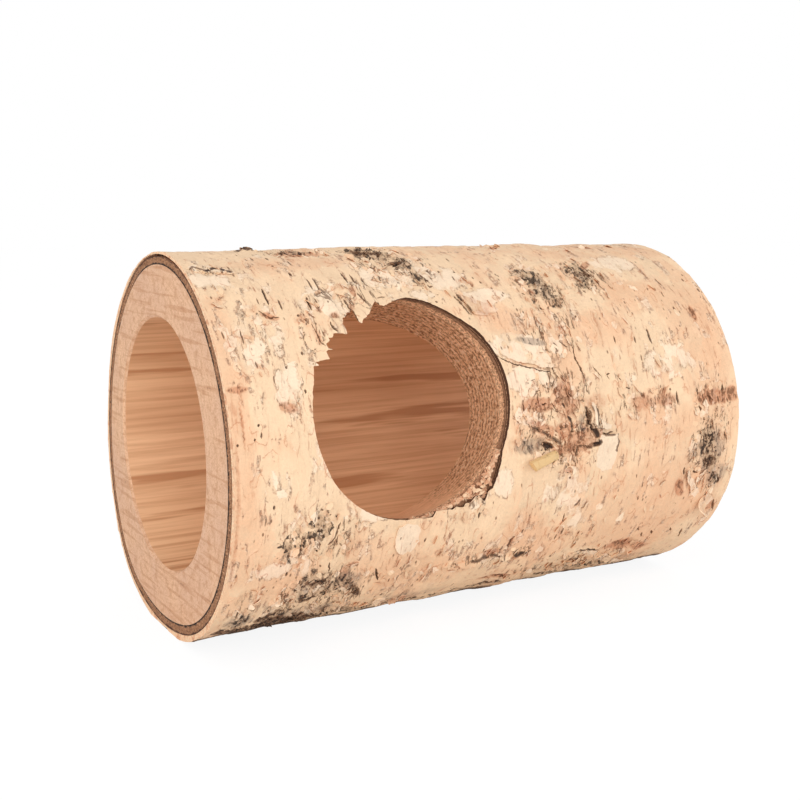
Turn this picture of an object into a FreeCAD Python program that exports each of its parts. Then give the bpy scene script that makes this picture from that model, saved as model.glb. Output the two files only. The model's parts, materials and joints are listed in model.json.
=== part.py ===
"""Hamster house made of a hollowed birch log: one STEP file in parts/ for each piece.

X runs along the log, from the near mouth at -X to the far mouth at +X. The doorway is on
the -Y side, Z points up and Z = 0 is the ground. A place on the log is given by x and by
its lift, the angle in degrees by which it lies above the -Y side.
"""
import FreeCAD
import Part
import math
import os

Vector = FreeCAD.Vector

# Driving dimensions, in millimetres and degrees.
LOG_LENGTH = 187.0
WOOD_RADIUS = 56.3          # mean radius of the wood under the bark
BORE_RADIUS = 40.0
BORE_OFFSET = 1.1           # the bore lies this far behind the middle of the log
MOUTH_EASE = 0.8            # chamfer at both mouths of the bore
INNER_BARK = 3.1
OUTER_BARK = 1.7
BARK_LINE = 0.1             # open line between one layer and the next
RUBBED = 0.8                # bark worn off flat where the log stands

DOOR_RADIUS = 33.6
DOOR_X = -36.7
DOOR_LIFT = 16.5

KNOT_X = 19.0
KNOT_LIFT = 2.0
KNOT_RADIUS = 7.5           # at the bark surface
KNOT_ROOT_RADIUS = 3.5      # at the log's axis
KNOT_STUB = 1.0             # broken end of the branch above the bark
KNOT_HOLLOW = 2.5           # rotted pith in the broken end
COLLAR_WIDTH = 6.5
COLLAR_HEIGHT = 1.9

PLATE_THICKNESS = 1.1       # corky plates
SHEET_THICKNESS = 0.5       # loose paper bark

# The log's outline is a ring of tangent arcs. Each arc starts where the surface faces the
# given lift, and its radius is a share of the wood's radius. The two shares left open are
# worked out so that the ring closes.
OUTLINE = [
    (-75.0, 0.954),         # low on the doorway side
    (-10.0, 1.039),
    (60.0, None),           # top
    (120.0, None),          # back
    (180.0, 0.963),
    (210.0, 0.661),         # swelling low at the back
    (252.0, 1.403),         # flat underside
]

# Derived sizes.
BARK = INNER_BARK + OUTER_BARK
BARK_RADIUS = WOOD_RADIUS + BARK
BEYOND = 8.0                # how far cutting tools and blanks run past what they cut
NEAR = -LOG_LENGTH / 2
FAR = LOG_LENGTH / 2

# Torn bark at the doorway, anticlockwise as seen from outside, from +X: angle round the
# doorway and the distance of the torn edge outside (+) or inside (-) the sawn edge.
TONGUES = [
    (82, 0.0), (86, -1.6), (89, -3.4), (92, -2.2), (96, -3.4), (99, -1.4), (102, -3.0),
    (106, -6.4), (109, -2.6), (112, -3.4), (116, -7.2), (121, -6.0), (123, -7.6), (127, -3.2),
    (131, -3.8), (135, -7.4), (140, -5.2), (143, -6.8), (146, -2.4), (150, -2.0), (154, 0.0),
]
NOTCH = [
    (292, 0.0), (296, 1.2), (300, 0.9), (304, 2.4), (308, 2.8), (311, 7.6), (315, 6.0),
    (319, 2.6), (323, 1.8), (328, 0.0),
]

# Places that torn and corky bark keeps its distance from: x and lift.
ANCHORS = {
    "near end": (NEAR, 0.0),
    "doorway": (DOOR_X, DOOR_LIFT),
    "doorway edge": (DOOR_X + DOOR_RADIUS, DOOR_LIFT),
    "branch": (KNOT_X, KNOT_LIFT),
    "far end": (FAR, 0.0),
}

# Corky plates that break through the paper bark: x and lift of their corners from an anchor.
CORKY_PLATES = {
    "corky_plate_top": ("doorway", [
        (0.5, 61.5), (8.5, 63.5), (14.5, 57.5), (18.5, 51.5), (19.5, 44.5), (22.5, 37.5),
        (18.5, 33.5), (13.5, 39.5), (8.5, 45.5), (5.5, 52.5), (-0.5, 56.5)]),
    "corky_plate_upper_middle": ("branch", [
        (-4, 55), (1, 59), (7, 58), (10, 51), (11, 43), (7, 40), (2, 41), (-1, 48)]),
    "corky_plate_upper_right": ("branch", [
        (18, 59), (25, 62), (32, 61), (31, 55), (29, 47), (23, 44), (20, 51)]),
    "corky_plate_right_end": ("far end", [
        (-19.5, 1), (-13.5, 2), (-9.5, -3), (-6.5, -11), (-7.5, -18), (-14.5, -16), (-18.5, -9)]),
    "corky_plate_left": ("doorway", [
        (-43.5, -32.5), (-34.5, -27.5), (-29.5, -24.5), (-22.5, -28.5), (-25.5, -35.5),
        (-32.5, -37.5), (-40.5, -41.5), (-46.5, -38.5)]),
    "corky_plate_lower_left": ("doorway", [
        (-35.5, -44.5), (-25.5, -45.5), (-17.5, -50.5), (-11.5, -54.5), (-10.5, -61.5),
        (-19.5, -62.5), (-29.5, -59.5), (-36.5, -53.5)]),
    "corky_plate_underside": ("near end", [
        (2.5, -48), (11.5, -51), (21.5, -50), (33.5, -53), (43.5, -55), (41.5, -60),
        (23.5, -61), (5.5, -58)]),
}

# Loose sheets of paper bark that lie on the log: x and lift of their corners from an anchor.
BARK_SHEETS = {
    "bark_sheet_over_knot": ("doorway edge", [
        (0, 17.5), (9, 17.5), (15, 15.5), (22, 16.5), (27, 13.5), (25, 8.5), (20, 5.5),
        (12, 7.5), (6, 9.5), (1, 11.5)]),
    "bark_flake_under_doorway": ("doorway", [
        (-5.5, -35.5), (0.5, -34.5), (3.5, -36.5), (3.5, -41.5), (0.5, -44.5), (-4.5, -42.5)]),
    "bark_sheet_right_end": ("far end", [
        (-24.5, -13), (-21.5, -15), (-16.5, -19), (-12.5, -23), (-15.5, -25), (-19.5, -22),
        (-23.5, -23)]),
    "bark_sheet_lower_middle": ("branch", [
        (-34, -39), (-26, -36), (-17, -33), (-12, -36), (-6, -39), (-11, -42), (-21, -40),
        (-28, -42)]),
    "bark_strip_underside": ("branch", [
        (15, -43), (25, -44), (33, -49), (41, -54), (49, -59), (44, -60), (35, -55), (27, -50),
        (19, -47)]),
    "bark_flake_near_end": ("near end", [
        (1.5, 66), (6.5, 67), (13.5, 64), (14.5, 60), (9.5, 62), (3.5, 63)]),
}

# Strips that curl away from the log: x and lift of the root from an anchor, heading, width,
# radius of the curl and turn. The heading is the way that the strip grows over the log: 0 is
# +X and 90 is upwards.
BARK_CURLS = {
    "bark_curl_knot_upper": ("branch", [(5.0, 12.0, 290.0, 8.0, 3.0, 150.0)]),
    "bark_curl_knot_lower": ("branch", [(17.0, -4.0, 75.0, 7.0, 3.4, 130.0)]),
    "bark_splinters_knot": ("branch", [
        (-17.0, -10.0, 20.0, 3.0, 9.0, 50.0),
        (-18.0, 3.0, 345.0, 4.5, 8.0, 50.0)]),
    "bark_curl_right_end": ("far end", [(-7.5, -27.0, 200.0, 9.0, 4.0, 120.0)]),
    "bark_curls_underside": ("doorway", [
        (-0.5, -66.5, 250.0, 5.0, 4.0, 90.0),
        (5.5, -70.5, 285.0, 4.0, 4.5, 80.0)]),
    "bark_curl_doorway": ("doorway edge", [(-6.5, 29.0, 290.0, 7.0, 4.5, 110.0)]),
}


def outward(lift):
    """Unit vector that points straight out of the log at a lift."""
    turn = math.radians(lift)
    return Vector(0, -math.cos(turn), math.sin(turn))


def upward(lift):
    """Unit vector that runs round the log's surface at a lift, the way the lift grows."""
    turn = math.radians(lift)
    return Vector(0, math.sin(turn), math.cos(turn))


def outline_arcs():
    """Arcs of the wood's outline as (start lift, end lift, radius), with the ring closed."""
    starts = [lift for lift, share in OUTLINE]
    ends = starts[1:] + [starts[0] + 360]
    steps = [outward(end) - outward(start) for start, end in zip(starts, ends)]
    left = Vector(0, 0, 0)
    for (lift, share), step in zip(OUTLINE, steps):
        if share:
            left -= step * share
    first, second = [step for (lift, share), step in zip(OUTLINE, steps) if not share]
    scale = first.cross(second).x
    closing = [left.cross(second).x / scale, first.cross(left).x / scale]
    shares = [share or closing.pop(0) for lift, share in OUTLINE]
    return [(start, end, WOOD_RADIUS * share) for start, end, share in zip(starts, ends, shares)]


def outline_centres(arcs):
    """Centre of each arc, with the middle of the ring in the origin."""
    centres = [Vector(0, 0, 0)]
    for (start, end, radius), (next_start, next_end, next_radius) in zip(arcs, arcs[1:]):
        centres.append(centres[-1] + outward(end) * (radius - next_radius))
    reach = []
    for lift in (0, 90, 180, 270):
        for (start, end, radius), centre in zip(arcs, centres):
            if start <= lift < end:
                reach.append(centre + outward(lift) * radius)
    front, top, back, under = reach
    middle = Vector(0, (front.y + back.y) / 2, (top.z + under.z) / 2)
    return [centre - middle for centre in centres], (top.z - under.z) / 2


ARCS = outline_arcs()
CENTRES, WOOD_HALF_HEIGHT = outline_centres(ARCS)
AXIS_HEIGHT = WOOD_HALF_HEIGHT + BARK - RUBBED      # bore axis above the ground


def on_axis(x=0.0):
    """Point of the bore axis."""
    return Vector(x, 0, AXIS_HEIGHT)


def log_blank(growth, beyond=BEYOND):
    """Solid log whose surface lies growth above the wood."""
    start_x = on_axis(NEAR - beyond) - Vector(0, BORE_OFFSET, 0)
    edges = []
    for (start, end, radius), centre in zip(ARCS, CENTRES):
        turns = (start, (start + end) / 2, end)
        edges.append(Part.Arc(*[
            start_x + centre + outward(lift) * (radius + growth) for lift in turns]).toShape())
    face = Part.Face(Part.Wire(edges))
    return face.extrude(Vector(LOG_LENGTH + 2 * beyond, 0, 0))


def surface_point(x, lift, growth):
    """Point of the log's surface, growth above the wood, straight out from the bore axis."""
    ray = Part.makeLine(on_axis(x), on_axis(x) + outward(lift) * (2 * BARK_RADIUS))
    return on_axis(x) + outward(lift) * ray.common(log_blank(growth)).Length


def shell(inside, outside):
    """Layer of the log between two growths."""
    return log_blank(outside).cut(log_blank(inside, 2 * BEYOND))


def sawn(shape):
    """Cut a shape off at both sawn ends and at the ground."""
    side = 4 * BARK_RADIUS
    block = Part.makeBox(LOG_LENGTH, side, side, Vector(NEAR, -side / 2, 0))
    return shape.common(block)


def bore_tool():
    """Cylinder of the bore with the eased mouths."""
    reach = LOG_LENGTH + 2 * BEYOND
    tool = Part.makeCylinder(BORE_RADIUS, reach, on_axis(-reach / 2), Vector(1, 0, 0))
    wide = BORE_RADIUS + MOUTH_EASE + BEYOND
    for x, way in ((NEAR, 1), (FAR, -1)):
        start = on_axis(x - way * BEYOND)
        cone = Part.makeCone(wide, BORE_RADIUS, MOUTH_EASE + BEYOND, start, Vector(way, 0, 0))
        tool = tool.fuse(cone)
    return tool


def door_point(angle, reach):
    """Point in the plane across the doorway's axis, at an angle from +X round that axis."""
    turn = math.radians(angle)
    across = Vector(1, 0, 0) * (reach * math.cos(turn)) + upward(DOOR_LIFT) * (reach * math.sin(turn))
    return on_axis(DOOR_X) + across


def doorway_tool():
    """Round hole saw cut from the bore axis out through the doorway side."""
    return Part.makeCylinder(DOOR_RADIUS, BARK_RADIUS + BEYOND, on_axis(DOOR_X), outward(DOOR_LIFT))


def sawn_edge(start, end):
    """Arc of the doorway's sawn edge between two angles."""
    ends = [door_point(angle, DOOR_RADIUS) for angle in (start, (start + end) / 2, end)]
    return Part.Arc(*ends).toShape()


def torn_edge(places):
    """Ragged line through places given by angle and distance from the sawn edge."""
    points = [door_point(angle, DOOR_RADIUS + depth) for angle, depth in places]
    return [Part.LineSegment(a, b).toShape() for a, b in zip(points, points[1:])]


def torn_doorway_tool():
    """Doorway as the outer bark has it, with overhanging tongues and a torn notch."""
    edges = torn_edge(TONGUES)
    edges.append(sawn_edge(TONGUES[-1][0], NOTCH[0][0]))
    edges += torn_edge(NOTCH)
    edges.append(sawn_edge(NOTCH[-1][0], TONGUES[0][0] + 360))
    face = Part.Face(Part.Wire(edges))
    return face.extrude(outward(DOOR_LIFT) * (BARK_RADIUS + BEYOND))


def branch_cone(clearance=0.0):
    """Branch wood that widens from the log's axis to the bark."""
    end = BARK_RADIUS + BEYOND
    slope = (KNOT_RADIUS - KNOT_ROOT_RADIUS) / BARK_RADIUS
    return Part.makeCone(
        KNOT_ROOT_RADIUS + clearance, KNOT_ROOT_RADIUS + slope * end + clearance, end,
        on_axis(KNOT_X), outward(KNOT_LIFT))


def knot_turned(profile):
    """Solid turned about the branch's axis from (radius, distance from the log's axis)."""
    out, up = outward(KNOT_LIFT), upward(KNOT_LIFT)
    points = [on_axis(KNOT_X) + up * radius + out * distance for radius, distance in profile]
    face = Part.Face(Part.makePolygon(points + points[:1]))
    return face.revolve(on_axis(KNOT_X), out, 360)


def branch_knot():
    """Branch stub in the wall: flush with the bore inside, broken and hollow outside."""
    end = BARK_RADIUS + KNOT_STUB
    rim = KNOT_RADIUS + (KNOT_RADIUS - KNOT_ROOT_RADIUS) * KNOT_STUB / BARK_RADIUS
    broken = knot_turned([
        (0, 0), (KNOT_ROOT_RADIUS, 0), (rim, end - 0.6), (0.85 * rim, end), (0.55 * rim, end - 0.3),
        (0.35 * rim, end - 0.6 * KNOT_HOLLOW), (0, end - KNOT_HOLLOW)])
    return broken.cut(bore_tool())


def knot_collar():
    """Raised ring of bark that the log grew round the branch."""
    inner = KNOT_RADIUS + 3 * BARK_LINE
    outer = inner + COLLAR_WIDTH
    crown = inner + 0.3 * COLLAR_WIDTH
    deep = BARK_RADIUS - 2 * COLLAR_WIDTH
    top = BARK_RADIUS + COLLAR_HEIGHT
    edge = BARK_RADIUS + 0.2 * COLLAR_HEIGHT - outer ** 2 / (2 * BARK_RADIUS)
    ring = knot_turned([
        (inner, deep), (inner, top - 0.4), (inner + 0.5, top), (crown, top),
        (inner + 0.7 * COLLAR_WIDTH, 0.5 * (top + edge) + 0.3), (outer, edge), (outer, deep)])
    return ring.cut(log_blank(BARK + BARK_LINE, 2 * BEYOND))


def placed(anchor, places):
    """Places given by x and lift from an anchor, with x and lift on the log."""
    anchor_x, anchor_lift = ANCHORS[anchor]
    return [(anchor_x + x, anchor_lift + lift, *rest) for x, lift, *rest in places]


def patch_tool(edge):
    """Prism that stands out of the log over an edge given by places of x and lift."""
    middle = sum(lift for x, lift in edge) / len(edge)
    points = []
    for x, lift in edge:
        across = BARK_RADIUS * math.sin(math.radians(lift - middle))
        points.append(on_axis(x) + upward(middle) * across)
    face = Part.Face(Part.makePolygon(points + points[:1]))
    return face.extrude(outward(middle) * (BARK_RADIUS + 2 * BEYOND))


def clear_of_doorway(shape):
    """Take away what would stand over the open doorway."""
    return shape.cut(torn_doorway_tool())


def bark_curl(x, lift, heading, width, radius, turn):
    """Thin strip that leaves the bark and rolls up."""
    out = outward(lift)
    course = math.radians(heading)
    ahead = Vector(1, 0, 0) * math.cos(course) + upward(lift) * math.sin(course)
    side = ahead.cross(out)
    root = surface_point(x, lift, BARK) - out * (2 * BARK_LINE)
    corner = root - side * (width / 2)
    tip = corner + out * SHEET_THICKNESS
    face = Part.Face(Part.makePolygon(
        [corner, corner + side * width, tip + side * width, tip, corner]))
    strip = face.revolve(root + out * (radius + SHEET_THICKNESS), side, turn)
    return strip.cut(log_blank(BARK + BARK_LINE, 2 * BEYOND))


def solids_of(shape):
    """The solids of a shape as one compound, or the solid itself where there is one."""
    solids = [solid for solid in shape.Solids if solid.Volume > 0.5]
    return solids[0] if len(solids) == 1 else Part.makeCompound(solids)


def build():
    """Every piece of the house under its node name."""
    doorway = doorway_tool()
    socket = branch_cone(BARK_LINE)
    pieces = {
        "wood_wall": sawn(log_blank(0)).cut(bore_tool()).cut(doorway).cut(socket),
        "inner_bark": sawn(shell(BARK_LINE, INNER_BARK)).cut(doorway).cut(socket),
        "outer_bark": clear_of_doorway(sawn(shell(INNER_BARK + BARK_LINE, BARK))).cut(socket),
        "branch_knot": branch_knot(),
        "knot_collar": sawn(knot_collar()),
    }
    taken = knot_collar().fuse(branch_cone())
    for thickness, patches in ((PLATE_THICKNESS, CORKY_PLATES), (SHEET_THICKNESS, BARK_SHEETS)):
        layer = shell(BARK + BARK_LINE, BARK + BARK_LINE + thickness)
        for name, (anchor, edge) in patches.items():
            patch = layer.common(patch_tool(placed(anchor, edge)))
            pieces[name] = clear_of_doorway(sawn(patch)).cut(taken)
    for name, (anchor, strips) in BARK_CURLS.items():
        group = Part.makeCompound([bark_curl(*strip) for strip in placed(anchor, strips)])
        pieces[name] = sawn(group).cut(taken)
    return {name: solids_of(shape) for name, shape in pieces.items()}


os.makedirs("parts", exist_ok=True)
for name, shape in build().items():
    shape.exportStep("parts/" + name + ".step")
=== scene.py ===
"""Hamster house made of a hollowed birch log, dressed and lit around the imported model.

X runs along the log, from the near mouth at -X to the far mouth at +X, -Y is the doorway side
and Z points up. A place on the log is given by x in millimetres and by its lift, the angle in
degrees by which it lies above the -Y side, seen from the bore axis.
"""

import json
import math

import bmesh
import bpy
import numpy as np
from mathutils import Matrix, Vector, noise
from mathutils.bvhtree import BVHTree
from mathutils.geometry import delaunay_2d_cdt

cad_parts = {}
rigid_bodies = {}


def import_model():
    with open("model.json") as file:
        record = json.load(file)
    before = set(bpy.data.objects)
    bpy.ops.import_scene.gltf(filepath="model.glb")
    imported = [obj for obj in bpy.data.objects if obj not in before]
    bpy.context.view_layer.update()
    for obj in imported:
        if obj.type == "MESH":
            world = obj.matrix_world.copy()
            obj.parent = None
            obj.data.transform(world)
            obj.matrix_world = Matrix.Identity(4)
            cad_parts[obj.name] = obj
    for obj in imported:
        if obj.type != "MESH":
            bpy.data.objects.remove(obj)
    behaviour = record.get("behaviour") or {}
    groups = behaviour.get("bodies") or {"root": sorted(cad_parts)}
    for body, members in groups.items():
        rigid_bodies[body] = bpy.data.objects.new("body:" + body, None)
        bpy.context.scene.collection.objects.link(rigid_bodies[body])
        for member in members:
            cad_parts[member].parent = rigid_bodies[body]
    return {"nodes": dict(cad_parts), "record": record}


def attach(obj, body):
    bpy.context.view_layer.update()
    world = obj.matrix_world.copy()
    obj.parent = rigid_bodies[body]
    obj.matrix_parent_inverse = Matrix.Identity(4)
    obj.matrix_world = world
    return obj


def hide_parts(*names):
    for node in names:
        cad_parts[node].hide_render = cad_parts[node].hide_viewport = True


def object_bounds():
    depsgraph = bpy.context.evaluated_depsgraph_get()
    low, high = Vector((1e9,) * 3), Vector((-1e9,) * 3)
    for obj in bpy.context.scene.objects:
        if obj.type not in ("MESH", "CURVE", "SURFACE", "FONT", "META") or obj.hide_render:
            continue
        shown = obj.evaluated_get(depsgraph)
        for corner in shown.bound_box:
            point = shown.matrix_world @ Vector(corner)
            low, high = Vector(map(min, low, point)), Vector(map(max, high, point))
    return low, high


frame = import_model()
CAD_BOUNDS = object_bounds()

bl_info = {
    "name": "Birch Log Hamster House",
    "version": (1, 0, 0),
    "blender": (4, 5, 0),
    "location": "View3D > Sidebar > Log House",
    "description": "Builds the bark, the wood and the stage of a hollowed birch log",
    "category": "Add Mesh",
}

MM = 0.001
NEAR = CAD_BOUNDS[0].x / MM
FAR = CAD_BOUNDS[1].x / MM
MOUNTS = {mount["name"]: mount for mount in frame["record"]["mounts"]}
AXIS_HEIGHT = MOUNTS["tunnel_bore"]["pos_m"][2] / MM
BORE_RADIUS = MOUNTS["tunnel_bore"]["dims"]["r_mm"]

# The doorway and the branch scar, in millimetres and degrees.
DOOR_X = -36.7
DOOR_LIFT = 16.5
DOOR_RADIUS = 33.6
KNOT_X = 19.0
KNOT_LIFT = 2.0
KNOT_RADIUS = 7.5
MOUTH_EASE = 0.8

# Where the growth rings have their middle, in metres.
PITH_Y, PITH_Z = 0.004, 0.062

# How far the scattered marks and scales keep from the sawn ends, in millimetres.
END_GAP = 3

# Where the section is read from the solids, clear of the doorway and the branch.
SECTION_X = 60.0
SEAM_LIFT = -160.0          # the surfaces are cut open here, low at the back
GIRTH_RADIUS = 61.0         # turns lifts into millimetres round the log
MM_PER_DEGREE = GIRTH_RADIUS * math.pi / 180

# Meshes: points round the doorway's sawn and torn edges, and, in millimetres, the distances
# between the points of sides that stay hidden, the gap at which two points become one and the
# least height over the floor.
SAWN_EDGE_POINTS = 704
TORN_EDGE_POINTS = 860
UNDERSIDE_SPACING = 5.0
HIDDEN_SPACING = 6.0
WELD_GAP = 1e-6
GROUND_GAP = 0.02

# How many points are compared with the doorway's edge at a time.
CHUNK = 2000

# Deepest and highest that the bark's relief reaches, in millimetres.
LOWEST_RELIEF, HIGHEST_RELIEF = -1.25, 1.6

# Edge of the outer bark round the doorway: angle round the doorway's axis, from +X and
# anticlockwise as seen from outside, and distance outside (+) or inside (-) the sawn edge.
TORN_EDGE = [
    (0, 0.5), (26, 1), (66, 0.7), (76, 0), (92, -4.2), (94, -3.4), (93.5, -2.4), (96, -2.3),
    (105, -5.8), (114, -7.2), (115, -6.5), (110.5, -2), (112.5, -1.6), (113.5, -2.6), (114.5, -1.9),
    (120, -3.1), (121.5, -2.9), (125, -4.4), (127, -6.3), (129, -6.9), (134.5, -3.8), (137, -4.1),
    (138.5, -3.2), (139.5, -4), (142, -3.3), (144.5, -4.4), (144, -5.7), (145.5, -4.6), (147, -4.4),
    (150.5, -5.7), (155, -2.2), (156.5, -3.2), (157.5, -1.9), (165, -2.2), (176, -1.8), (218, 0.5),
    (273, 0.6), (281.5, 1.6), (283.5, 0.2), (293.5, 2.4), (295, 2.2), (298.5, 4.4), (300, 3.6),
    (305, 4.4), (307, 3.9), (308, 6.9), (312.5, 5.4), (314, 5.8), (330, 1.5), (340, 0.6)]

# Patches on the bark: x, lift, half length along x, half height, turn and strength.
CORKY = [
    (-31, 76, 6, 4.5, 0, 0.9), (-28, 71, 6, 4, 0, 1), (-22, 64, 4, 3, 10, 0.8), (-20, 56, 3, 4, 0, 0.6),
    (-53, 78, 9, 3, 0, 0.6), (-67, 82, 3.6, 2.4, 0, 1), (21, 57, 5, 3.5, 0, 0.8),
    (24, 51, 4.5, 5, 0, 0.9), (26, 45, 3, 4, 0, 0.8), (19, 45, 1.6, 5, 0, 0.6), (44, 58, 5, 3, 0, 0.8),
    (42, 51, 4, 4, 0, 0.6), (79, -5, 4, 6, 0, 1), (82, -11, 5, 3, 0, 0.8),
    (86.5, -18, 2.4, 2.4, 0, 0.6), (-75.5, -21, 4, 5, 0, 0.5), (-67, -15, 2.6, 4, 0, 0.55),
    (-67, -31, 3, 4, 0, 0.55), (-65, -40, 4, 3, 0, 0.8), (-57, -37, 5, 5, 0, 0.5),
    (-50, -42, 3, 3, 0, 0.5), (-85, -48, 3.6, 5, 0, 0.6), (-74, -49, 6, 3, 25, 1),
    (-80, -56, 11, 4, 0, 1), (-60, -57, 12, 3, 0, 1), (-46, -56, 9, 2.4, 0, 1),
    (-28, -57, 12, 2.2, 0, 0.9), (0, -57, 20, 2.2, 0, 0.7), (45, -56, 20, 3, 0, 0.9),
    (82, 135, 7, 12, 20, 0.6), (10, 150, 12, 5, 0, 0.6), (-55, 160, 6, 14, -15, 0.6),
    (-30, -110, 16, 8, 0, 0.7), (45, -120, 12, 9, 0, 0.6), (40, 178, 8, 10, 0, 0.8)]
RUSTY = [
    (8, 12, 7, 2.4, 0, 1), (18, 12, 5, 7, 0, 0.8), (31, 11.5, 6, 3, 0, 0.6), (50, 9.8, 7, 3, 0, 0.6),
    (60, 10.4, 6, 2.4, 0, 0.7), (82, 9.4, 9, 2.8, 0, 1), (91, 10, 3, 3, 0, 1),
    (10, 4.6, 8, 2, -24, 0.9), (20, 3, 9, 4, 0, 0.9), (22, -1, 9, 2.4, 6, 1), (-90, 23, 3.6, 1, 0, 0.9),
    (-76, 17.5, 3, 1.6, -15, 0.8), (-75, 43.5, 3.4, 1, -20, 0.9), (-54.5, 43, 1.7, 1.2, 0, 0.8),
    (-62, 36.5, 1, 3.4, 0, 0.7), (-45, 52, 1, 2.4, 0, 0.8), (-47.6, 46, 1, 1.6, 0, 0.7),
    (-1.5, 53.5, 1, 2, 0, 0.9), (83, 38, 1.3, 3.4, 0, 1), (70, -19.5, 2, 4, 30, 1),
    (56, -43, 9, 3.4, -12, 0.8), (66, -46, 6, 2.6, -30, 0.8), (-3, -34.5, 6, 1.8, 0, 0.8),
    (9, -38, 2, 2.4, 0, 1), (3.5, -31, 1, 3, 0, 0.8), (50, 61.5, 4.4, 1.4, 38, 1),
    (-52, 76, 9, 2.6, 0, 1), (9, -51, 9, 1.8, 0, 1), (88, -29, 3, 3, -50, 0.7),
    (-56, -33, 2, 3.4, 0, 0.7), (-2.5, 42.5, 4.5, 1.2, 0, 0.9), (8, 25.2, 5, 0.7, 8, 0.7),
    (-90, 14, 0.5, 9, 0, 0.7), (-92.4, -10, 0.8, 26, 0, 0.6)]
PEACHY = [
    (-91, 5, 4, 45, 0, 0.9), (-86, -25, 6, 18, 0, 0.6), (60, -26, 32, 22, 0, 0.9),
    (60, 47, 14, 8, 0, 1), (40, 34, 12, 7, 0, 0.7), (8, -28, 8, 10, 0, 0.7), (-60, 68, 22, 5, 0, 0.5),
    (4, 38, 12, 5, 0, 0.8), (22, 24, 6, 8, 0, 0.7), (20, -33, 14, 9, 0, 0.6),
    (-78, -30, 14, 10, 0, 0.7), (-50, -22, 9, 6, 0, 0.5), (-30, -36, 24, 10, 0, 0.5),
    (80, 34, 14, 26, 0, 0.8), (60, 3, 20, 6, 0, 0.7), (60, 74, 34, 9, 0, 0.5),
    (40, 130, 50, 20, 0, 0.5), (-30, -130, 50, 20, 0, 0.5)]
PALE = [
    (64, 22, 11, 5, 0, 0.6), (0, 48, 8, 3, 0, 1), (3, 29.5, 9, 3, 0, 1), (5, 19.5, 9, 3.6, 0, 1),
    (-81, 36, 10, 12, 0, 0.4), (-75, 24, 5, 7, 0, 0.6), (-5, -9, 4, 5, 0, 0.9),
    (-49, -13, 8, 3, 0, 0.7), (34, -4, 4, 5, 0, 0.6), (-80, -2, 4, 4, 0, 0.6), (-32, 57, 8, 5, 0, 0.7),
    (-12, 56, 7, 6, 0, 0.7), (-56, 48, 8, 6, 0, 0.6), (20, -14, 10, 5, 0, 0.4),
    (27, -26, 5, 2.4, 0, 0.6), (64, 62, 9, 5, 0, 0.7), (-79, -27, 5, 3, 0, 0.7),
    (60, 140, 14, 16, 0, 0.5), (-20, 165, 24, 9, 0, 0.5), (0, -100, 20, 10, 0, 0.6),
    (4, 7.5, 5, 1.4, 0, 0.8), (-68, -36.5, 1.6, 2, 0, 1), (-87, 58, 7, 5, 0, 0.5),
    (-22, 49.5, 6, 2, 0, 0.6)]
# Weathered grey bark; the patches at 4.5, 0.5 and 24.5, 5.5 are painted shade in the hollows beside the
# branch scar.
GREYED_AND_HOLLOW_SHADE = [
    (10, 31, 6.5, 1.4, -12, 1), (81, -8, 9, 9, 0, 0.8), (86, -16, 6, 5, 0, 0.7),
    (-65, -36, 7, 8, 0, 0.7), (-54, -37, 7, 6, 0, 0.7), (-64, -52, 16, 6, 0, 0.7),
    (-25, -52, 16, 4, 0, 0.6), (-85, -49, 5, 6, 0, 0.9), (-29, 72, 9, 8, 0, 0.5),
    (4.5, 0.5, 6.5, 2.8, 6, 0.9), (24.5, 5.5, 2.2, 3.4, 0, 0.8), (22, 52, 7, 9, 0, 0.4),
    (43, 56, 8, 8, 0, 0.5), (60, -54, 30, 3, 0, 0.5), (20, 160, 30, 20, 0, 0.5),
    (-60, -110, 30, 16, 0, 0.5)]

# Hollows to the left and right of the branch scar.
KNOT_HOLLOWS = [(4.5, 0.7, 7.4, 2.6, -6, 1.0), (27, 5, 1.8, 5, 0, 0.8)]

# Nearly black bark, with painted shadow: the band along the underside is dark bark and the log's
# painted contact shadow, and the small patches by the branch scar are painted shade in its gaps
# and beside the loose pieces there.
DARK_BARK_AND_SHADOW = [
    (-76, -67, 24, 11, 4, 1), (-40, -69, 26, 9.5, 0, 1), (0, -70.5, 30, 9.5, 0, 1),
    (44, -71, 28, 9.5, 0, 1), (82, -68, 20, 9, 0, 0.9), (-74, -56, 15, 5, 6, 1),
    (-30, 73, 6, 2.6, -20, 0.7), (-24.5, 64, 3.4, 1.2, 0, 0.7), (-67, 82, 4, 1.8, 0, 1),
    (46, 56, 4, 1.4, 0, 0.7), (-64, -34.5, 3, 1.2, 0, 0.8), (-65, -42, 3.6, 1.2, 0, 0.8),
    (-49, -42, 1.6, 4, 30, 0.8), (81, -11, 3.4, 2, 0, 0.7), (-76, -49, 5, 1.6, 25, 0.8),
    (11, 0, 2, 1.1, -20, 1), (27.5, 6.5, 0.9, 4.6, -8, 0.9), (29.5, -1, 1.8, 0.8, 0, 1),
    (25.5, -1.5, 4, 0.7, -8, 0.7), (19, -2, 3.4, 0.7, 0, 0.6), (17, 11, 0.8, 4, 0, 0.6)]

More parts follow.
